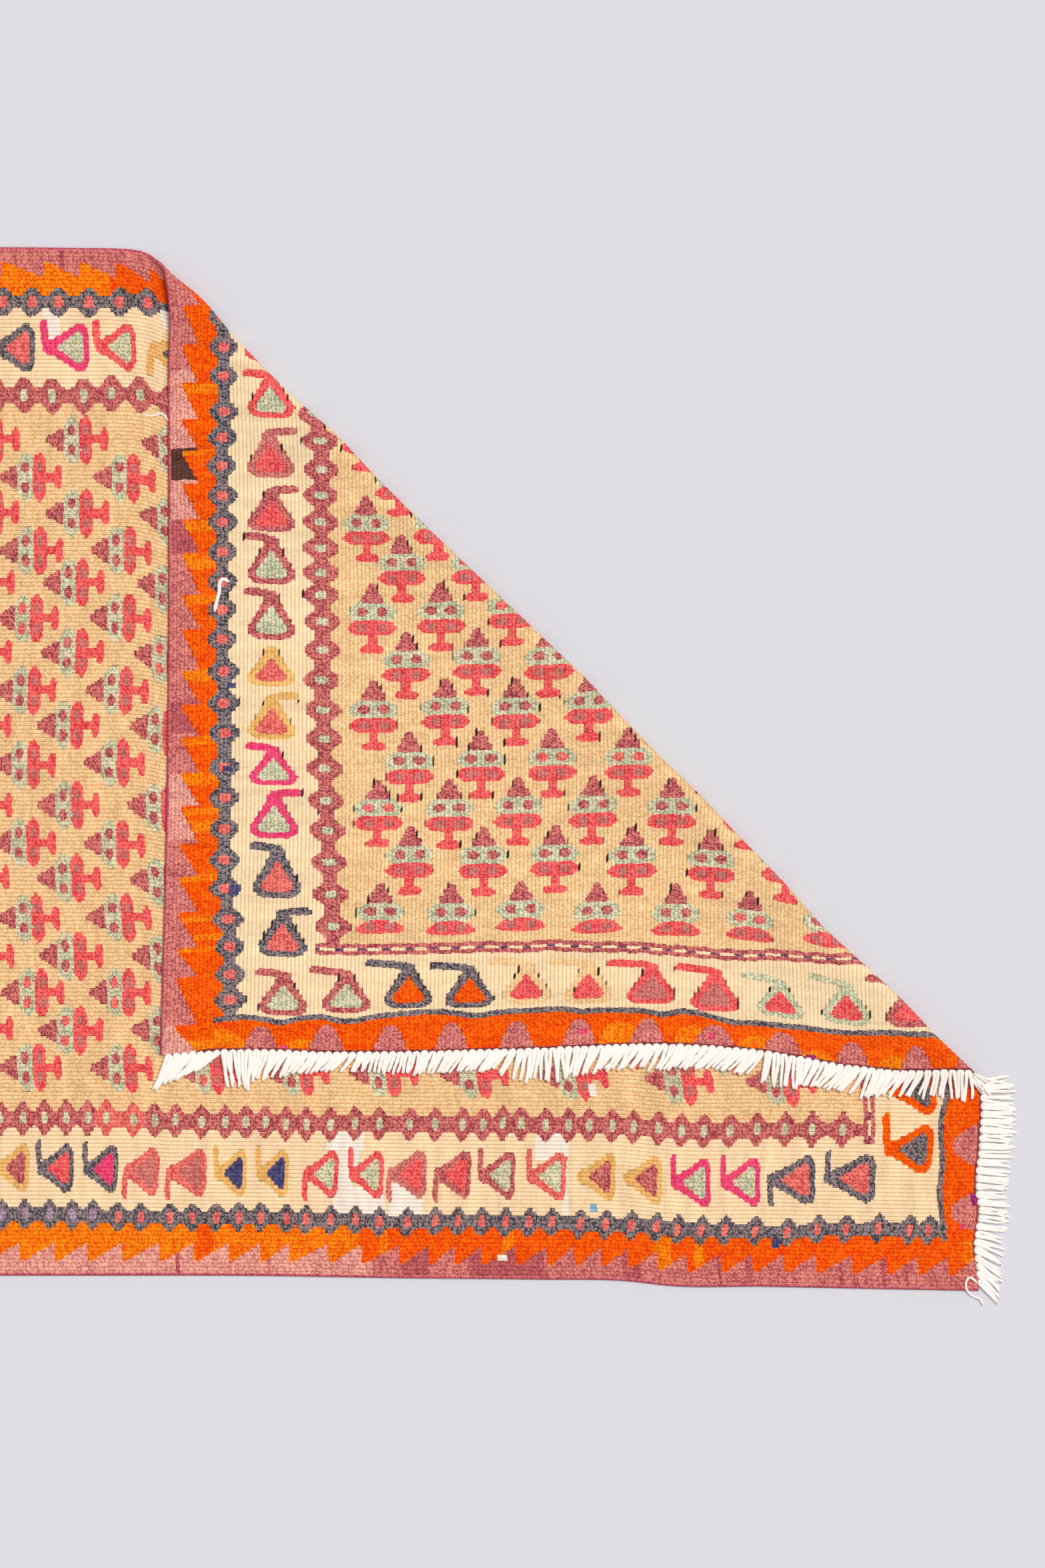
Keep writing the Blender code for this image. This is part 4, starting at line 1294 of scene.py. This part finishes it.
class Nodes:
    """A material, with short calls for its nodes."""

    def __init__(self, name):
        self.material = bpy.data.materials.new(name)
        self.material.use_nodes = True
        self.tree = self.material.node_tree
        self.shader = self.tree.nodes["Principled BSDF"]

    def put(self, kind, inputs, output=0, **settings):
        """A new node, given as one of its outputs."""
        node = self.tree.nodes.new(kind)
        for key, value in settings.items():
            setattr(node, key, value)
        for key, value in inputs.items():
            self.give(node.inputs[key], value)
        return Value(self, node.outputs[output])

    def give(self, socket, value):
        if isinstance(value, Value):
            self.tree.links.new(value.socket, socket)
        else:
            socket.default_value = value

    def math(self, operation, *values):
        return self.put("ShaderNodeMath", dict(enumerate(values)), operation=operation)

    def vector(self, x, y, z=0.0):
        return self.put("ShaderNodeCombineXYZ", {"X": x, "Y": y, "Z": z})

    def place(self):
        return self.put("ShaderNodeTexCoord", {}, "Object")

    def read(self, name):
        return self.put("ShaderNodeAttribute", {}, "Fac", attribute_name=name)

    def noise(self, vector, scale, detail=2.0, roughness=0.5):
        return self.put("ShaderNodeTexNoise", {
            "Vector": vector, "Scale": scale, "Detail": detail, "Roughness": roughness},
            noise_dimensions="3D")

    def mix(self, factor, first, second, blend="MIX"):
        inputs = {0: factor, 6: first, 7: second}
        return self.put("ShaderNodeMix", inputs, 2, data_type="RGBA", blend_type=blend)

    def ramp(self, factor, colours):
        """A ramp of flat steps, one for each colour."""
        ramp = self.put("ShaderNodeValToRGB", {"Fac": factor}, "Color")
        ramp.socket.node.color_ramp.interpolation = "CONSTANT"
        stops = ramp.socket.node.color_ramp.elements
        while len(stops) < len(colours):
            stops.new(1.0)
        for number, (stop, colour) in enumerate(zip(stops, colours)):
            stop.position = number / RAMP_STEPS
            stop.color = colour
        return ramp

    def finish(self, **inputs):
        """Set the shader's inputs, whose names have a line for each space."""
        for key, value in inputs.items():
            self.give(self.shader.inputs[key.replace("_", " ")], value)
        return self.material

    def bump(self, height, distance):
        inputs = {"Height": height, "Distance": distance, "Strength": 1.0}
        return self.put("ShaderNodeBump", inputs, "Normal")


def wool_colour(n, chosen, streak, speck):
    """The yarn's two tones, mixed by streaks along the wefts and by single beads; the lighter tone holds
    painted highlights as well as the yarn's own tone.
    """
    step = (chosen + 0.5) / float(RAMP_STEPS)
    dark, light = (n.ramp(step, [linear(tones[tone], LIGHT) for tones in PALETTE.values()])
                   for tone in (0, 1))
    mixed = streak * STREAK_SHARE + speck * (1.0 - STREAK_SHARE)
    return n.mix(mixed.span(*TONES), dark, light)


def wool_material():
    """Wool wefts packed over the warps: each bead of yarn has its own shade."""
    n = Nodes("kilim_wool")
    place = n.put("ShaderNodeUVMap", {}, uv_map="plan")
    u, v = (n.put("ShaderNodeSeparateXYZ", {"Vector": place}, axis) for axis in (0, 1))
    rib = v * (RIBS / RUG_WIDTH)
    rib_number, in_rib = rib.split()
    # Beads of weft slant across the rib, and neighbouring ribs show every other weft
    waver = n.noise(n.vector(u * WAVERS, rib_number * WAVER_STEP), 1.0)
    turned = rib_number % 2.0 * 0.5 + waver * WAVER_REACH
    pick_number, in_pick = (u / BEAD_LENGTH + turned + in_rib * BEAD_SLANT).split()
    half_rib, _ = (rib * 2.0).split()
    speck = n.put("ShaderNodeTexWhiteNoise", {"Vector": n.vector(pick_number, half_rib)}, "Value",
                  noise_dimensions="2D")
    # Colour changes follow the wefts, a little unevenly
    before = n.math("LESS_THAN", u, n.read("turn"))
    chosen = n.read("yarn_a") * before + n.read("yarn_b") * (1.0 - before)
    weft = n.vector(u * (1.0 / STREAK_SIZE[0]), v * (1.0 / STREAK_SIZE[1]), chosen)
    colour = wool_colour(n, chosen, n.noise(weft, 1.0, 3.0, 0.6), speck)
    # Dye lots drift along the rug, and the ends of the beads get a little painted shade
    lot = n.vector(u * (1.0 / LOT_SIZE[0]), v * (1.0 / LOT_SIZE[1]), chosen)
    drift = n.noise(lot, 1.0, 4.0, 0.6).span(0.25, 0.75, *LOT_SHADES)
    grain = n.noise(place, GRAINS, 3.0, 0.6).span(0.3, 0.7, *GRAIN_SHADES)
    bead_end = abs(in_pick - 0.5).span(BEAD_END, 0.5)
    shade = drift * grain * (1.0 - bead_end * BEAD_SHADE)
    colour = n.mix(1.0, colour, n.vector(shade, shade, shade), "MULTIPLY")
    colour = n.mix(n.read("front"), colour, (*FRONT_TINT, 1.0), "MULTIPLY")
    # Painted shade in the valleys between the ribs, broken up by the wefts that cross them
    crossing = bead_end * CROSSING_END + speck * CROSSING_SPECK + CROSSING_SHADE
    valley = abs(in_rib - 0.5).span(VALLEY_FROM, 0.5) * crossing
    colour = n.mix(valley * VALLEY_SHADE, colour, linear(VALLEY_SHADE_COLOUR), "MULTIPLY")
    # Painted shadow in the slits, darker where a slit gapes
    colour = n.mix(n.read("slit").span(*SLIT_SPAN), colour, linear(SLIT_SHADOW_COLOUR))
    # Height: rounded beads, with fine fibres
    height = n.noise(place, FIBRES, 2.0, 0.6) * 0.35 + speck * 0.3 - bead_end
    return n.finish(Base_Color=colour, Roughness=speck.span(0.0, 1.0, 0.84, 0.95),
                    Normal=n.bump(height, BEAD_HEIGHT), Sheen_Weight=0.03, Sheen_Roughness=0.5,
                    Specular_IOR_Level=0.08)


def yarn_material(name, colour, shade, streaks):
    """Loosely plied yarn: long fibres with painted shade in lines between them and in soft patches."""
    n = Nodes(name)
    fibre = n.noise(n.place(), YARN_FIBRES, 3.0, 0.7)
    patch = n.noise(n.place(), YARN_PATCHES, 2.0, 0.5)
    # Painted shade between the fibres, and in patches
    factor = fibre.span(0.35, 0.75) * streaks + patch.span(0.4, 0.8) * PATCH_SHARE
    mixed = n.mix(factor, linear(colour, LIGHT), linear(shade, LIGHT))
    return n.finish(Base_Color=mixed, Roughness=fibre.span(0.0, 1.0, 0.8, 0.95),
                    Normal=n.bump(fibre, FIBRE_HEIGHT), Sheen_Weight=0.15, Sheen_Roughness=0.5,
                    Specular_IOR_Level=0.25)


# ---- loose yarn

# Ends of yarn: (name, yarn, heights of what its two ends lie on, radius, pixels of the photo
# along it)
LOOSE_YARN = (
    ("yarn_corner", "white", 0.0042, 0.0010, 0.0011,
     ((1466, 1924), (1456, 1916), (1450, 1921), (1450, 1933), (1458, 1943),
      (1470, 1948), (1475, 1958))),
    ("yarn_base", "white", 0.0036, 0.0036, 0.0008,
     ((213, 619), (220, 623), (231, 624), (238, 620), (247, 624),
      (254, 634))),
    ("yarn_wisp", "white", 0.0036, 0.0036, 0.0004,
     ((224, 617), (236, 622), (245, 619), (252, 627))),
    ("yarn_flap", "white", 0.0078, 0.0078, 0.0018,
     ((344, 873), (336, 869), (330, 874), (329, 888), (325, 904),
      (322, 918))),
    ("yarn_flap_wisp", "white", 0.0078, 0.0078, 0.0005,
     ((270, 558), (275, 555), (280, 554), (286, 558))),
    ("yarn_fold_a", "white", 0.0110, 0.0008, 0.0014,
     ((1463, 1611), (1476, 1617), (1494, 1622), (1514, 1626))),
    ("yarn_fold_b", "white", 0.0100, 0.0008, 0.0013,
     ((1460, 1613), (1470, 1624), (1486, 1633), (1508, 1640))),
    ("yarn_fold_c", "white", 0.0105, 0.0008, 0.0012,
     ((1461, 1610), (1474, 1619), (1490, 1628), (1516, 1633))),
    ("yarn_fold_d", "white", 0.0090, 0.0008, 0.0013,
     ((1458, 1615), (1464, 1627), (1474, 1639), (1492, 1648))),
    ("yarn_fold_e", "white", 0.0090, 0.0008, 0.0012,
     ((1462, 1616), (1470, 1630), (1482, 1642), (1506, 1650))),
    ("yarn_magenta", "magenta", 0.0004, 0.0004, 0.0005,
     ((1461, 1797), (1468, 1801), (1478, 1799), (1490, 1804))),
)
LOOSE_STEPS = 5  # sections of the tube for each place
LOOSE_LOBES, LOOSE_TWIST = 0.12, 900.0
LOOSE_DROP = (0.3, 0.6)  # shares of its length between which it goes down
LOOSE_REST = 0.8  # radii above what it lies on
LOOSE_TAPER = 0.4  # places from an end where it gets thinner
LOOSE_ENDS = (0.5, 0.4)  # shares of the radius at the ends


def photo_place(x, y):
    """Place on the plan for a pixel of the photo."""
    return (x - PHOTO_ORIGIN[0]) * PHOTO_SCALE, (PHOTO_ORIGIN[1] - y) * PHOTO_SCALE


def make_loose_yarn(materials):
    """Ends of yarn that lie on the rug."""
    for name, kind, first_height, last_height, radius, places in LOOSE_YARN:
        last = len(places) - 1.0
        at = np.linspace(0.0, last, LOOSE_STEPS * len(places))
        rows = np.arange(len(places))
        x, y = (smooth(np.column_stack((rows, spots)), at)
                for spots in photo_place(*np.array(places, float).T))
        height = np.interp(at / last, LOOSE_DROP, (first_height, last_height))
        path = np.stack((x, y, height + LOOSE_REST * radius), axis=-1)
        taper = np.interp(at, (0.0, LOOSE_TAPER, last - LOOSE_TAPER, last),
                          (LOOSE_ENDS[0], 1.0, 1.0, LOOSE_ENDS[1]))
        rings = tube(path + SHIFT, radius * taper, LOOSE_LOBES, LOOSE_TWIST)
        add_piece(name, yarn_mesh(name, [rings]), materials[kind], "cotton")


# ---- stage

SKY_STRENGTH = 0.45
LAMP_WAY = (0.32, 0.26, 1.0)  # towards the light, from the right and the top of the photo
LAMP_WIDTH = math.radians(32.0)
LAMP_STRENGTH = 2.38
FLOOR_COLOUR = (223, 222, 228)
FLOOR_LIGHT = 1.15
FLOOR_GAP = 0.0002
FLOOR_HALF = 6.0
GREY, GREY_SHARE = (0.5, 0.5, 0.5, 1.0), 0.03
CAMERA_HEIGHT = 12.0
SENSOR_HEIGHT = 36.0


def add_to_scene(name, data):
    thing = bpy.data.objects.new(name, data)
    bpy.context.scene.collection.objects.link(thing)
    return thing


def make_floor():
    """A plain pale floor with a faint cloudiness."""
    mesh = bpy.data.meshes.new("floor")
    ways = (-1, -1), (1, -1), (1, 1), (-1, 1)
    mesh.from_pydata([(FLOOR_HALF * x, FLOOR_HALF * y, 0.0) for x, y in ways], [], [(0, 1, 2, 3)])
    floor = add_to_scene("floor", mesh)
    floor.location.z = -FLOOR_GAP
    n = Nodes("floor_paint")
    cloud = n.noise(n.place(), 2.0).span(0.0, 1.0, 0.0, GREY_SHARE)
    paint_colour = n.mix(cloud, linear(FLOOR_COLOUR, FLOOR_LIGHT), GREY)
    mesh.materials.append(n.finish(Base_Color=paint_colour, Roughness=1.0, Specular_IOR_Level=0.0))


def make_light():
    """Soft light from all round, with a little more from the right."""
    world = bpy.data.worlds.new("studio")
    world.use_nodes = True
    sky = world.node_tree.nodes["Background"]
    sky.inputs["Color"].default_value = (1.0, 1.0, 1.0, 1.0)
    sky.inputs["Strength"].default_value = SKY_STRENGTH
    bpy.context.scene.world = world
    lamp = bpy.data.lights.new("lamp", "SUN")
    lamp.angle = LAMP_WIDTH
    lamp.energy = LAMP_STRENGTH
    way = -Vector(LAMP_WAY)
    add_to_scene("lamp", lamp).rotation_euler = way.to_track_quat("-Z", "Y").to_euler()


def make_camera():
    """Straight above the middle of the photo, through a long lens."""
    lens = bpy.data.cameras.new("camera")
    lens.sensor_fit = "VERTICAL"
    lens.sensor_height = SENSOR_HEIGHT
    lens.lens = SENSOR_HEIGHT * CAMERA_HEIGHT / (PHOTO_SIZE[1] * PHOTO_SCALE)
    lens.clip_end = 100.0
    camera = add_to_scene("camera", lens)
    x, y = photo_place(PHOTO_SIZE[0] / 2.0, PHOTO_SIZE[1] / 2.0)
    camera.location = (x + SHIFT[0], y + SHIFT[1], CAMERA_HEIGHT)
    bpy.context.scene.camera = camera


def main():
    make_camera()
    make_floor()
    make_light()
    cotton = yarn_material("warp_yarn", COTTON_COLOUR, COTTON_SHADE, 0.7)
    magenta = yarn_material("magenta_yarn", *PALETTE["magenta"], 0.5)
    panels = make_cloth(wool_material())
    flap, end, far = make_fringes(cotton)
    make_loose_yarn({"white": cotton, "magenta": magenta})
    bpy.context.scene.view_settings.view_transform = "Standard"


main()
bpy.context.view_layer.update()
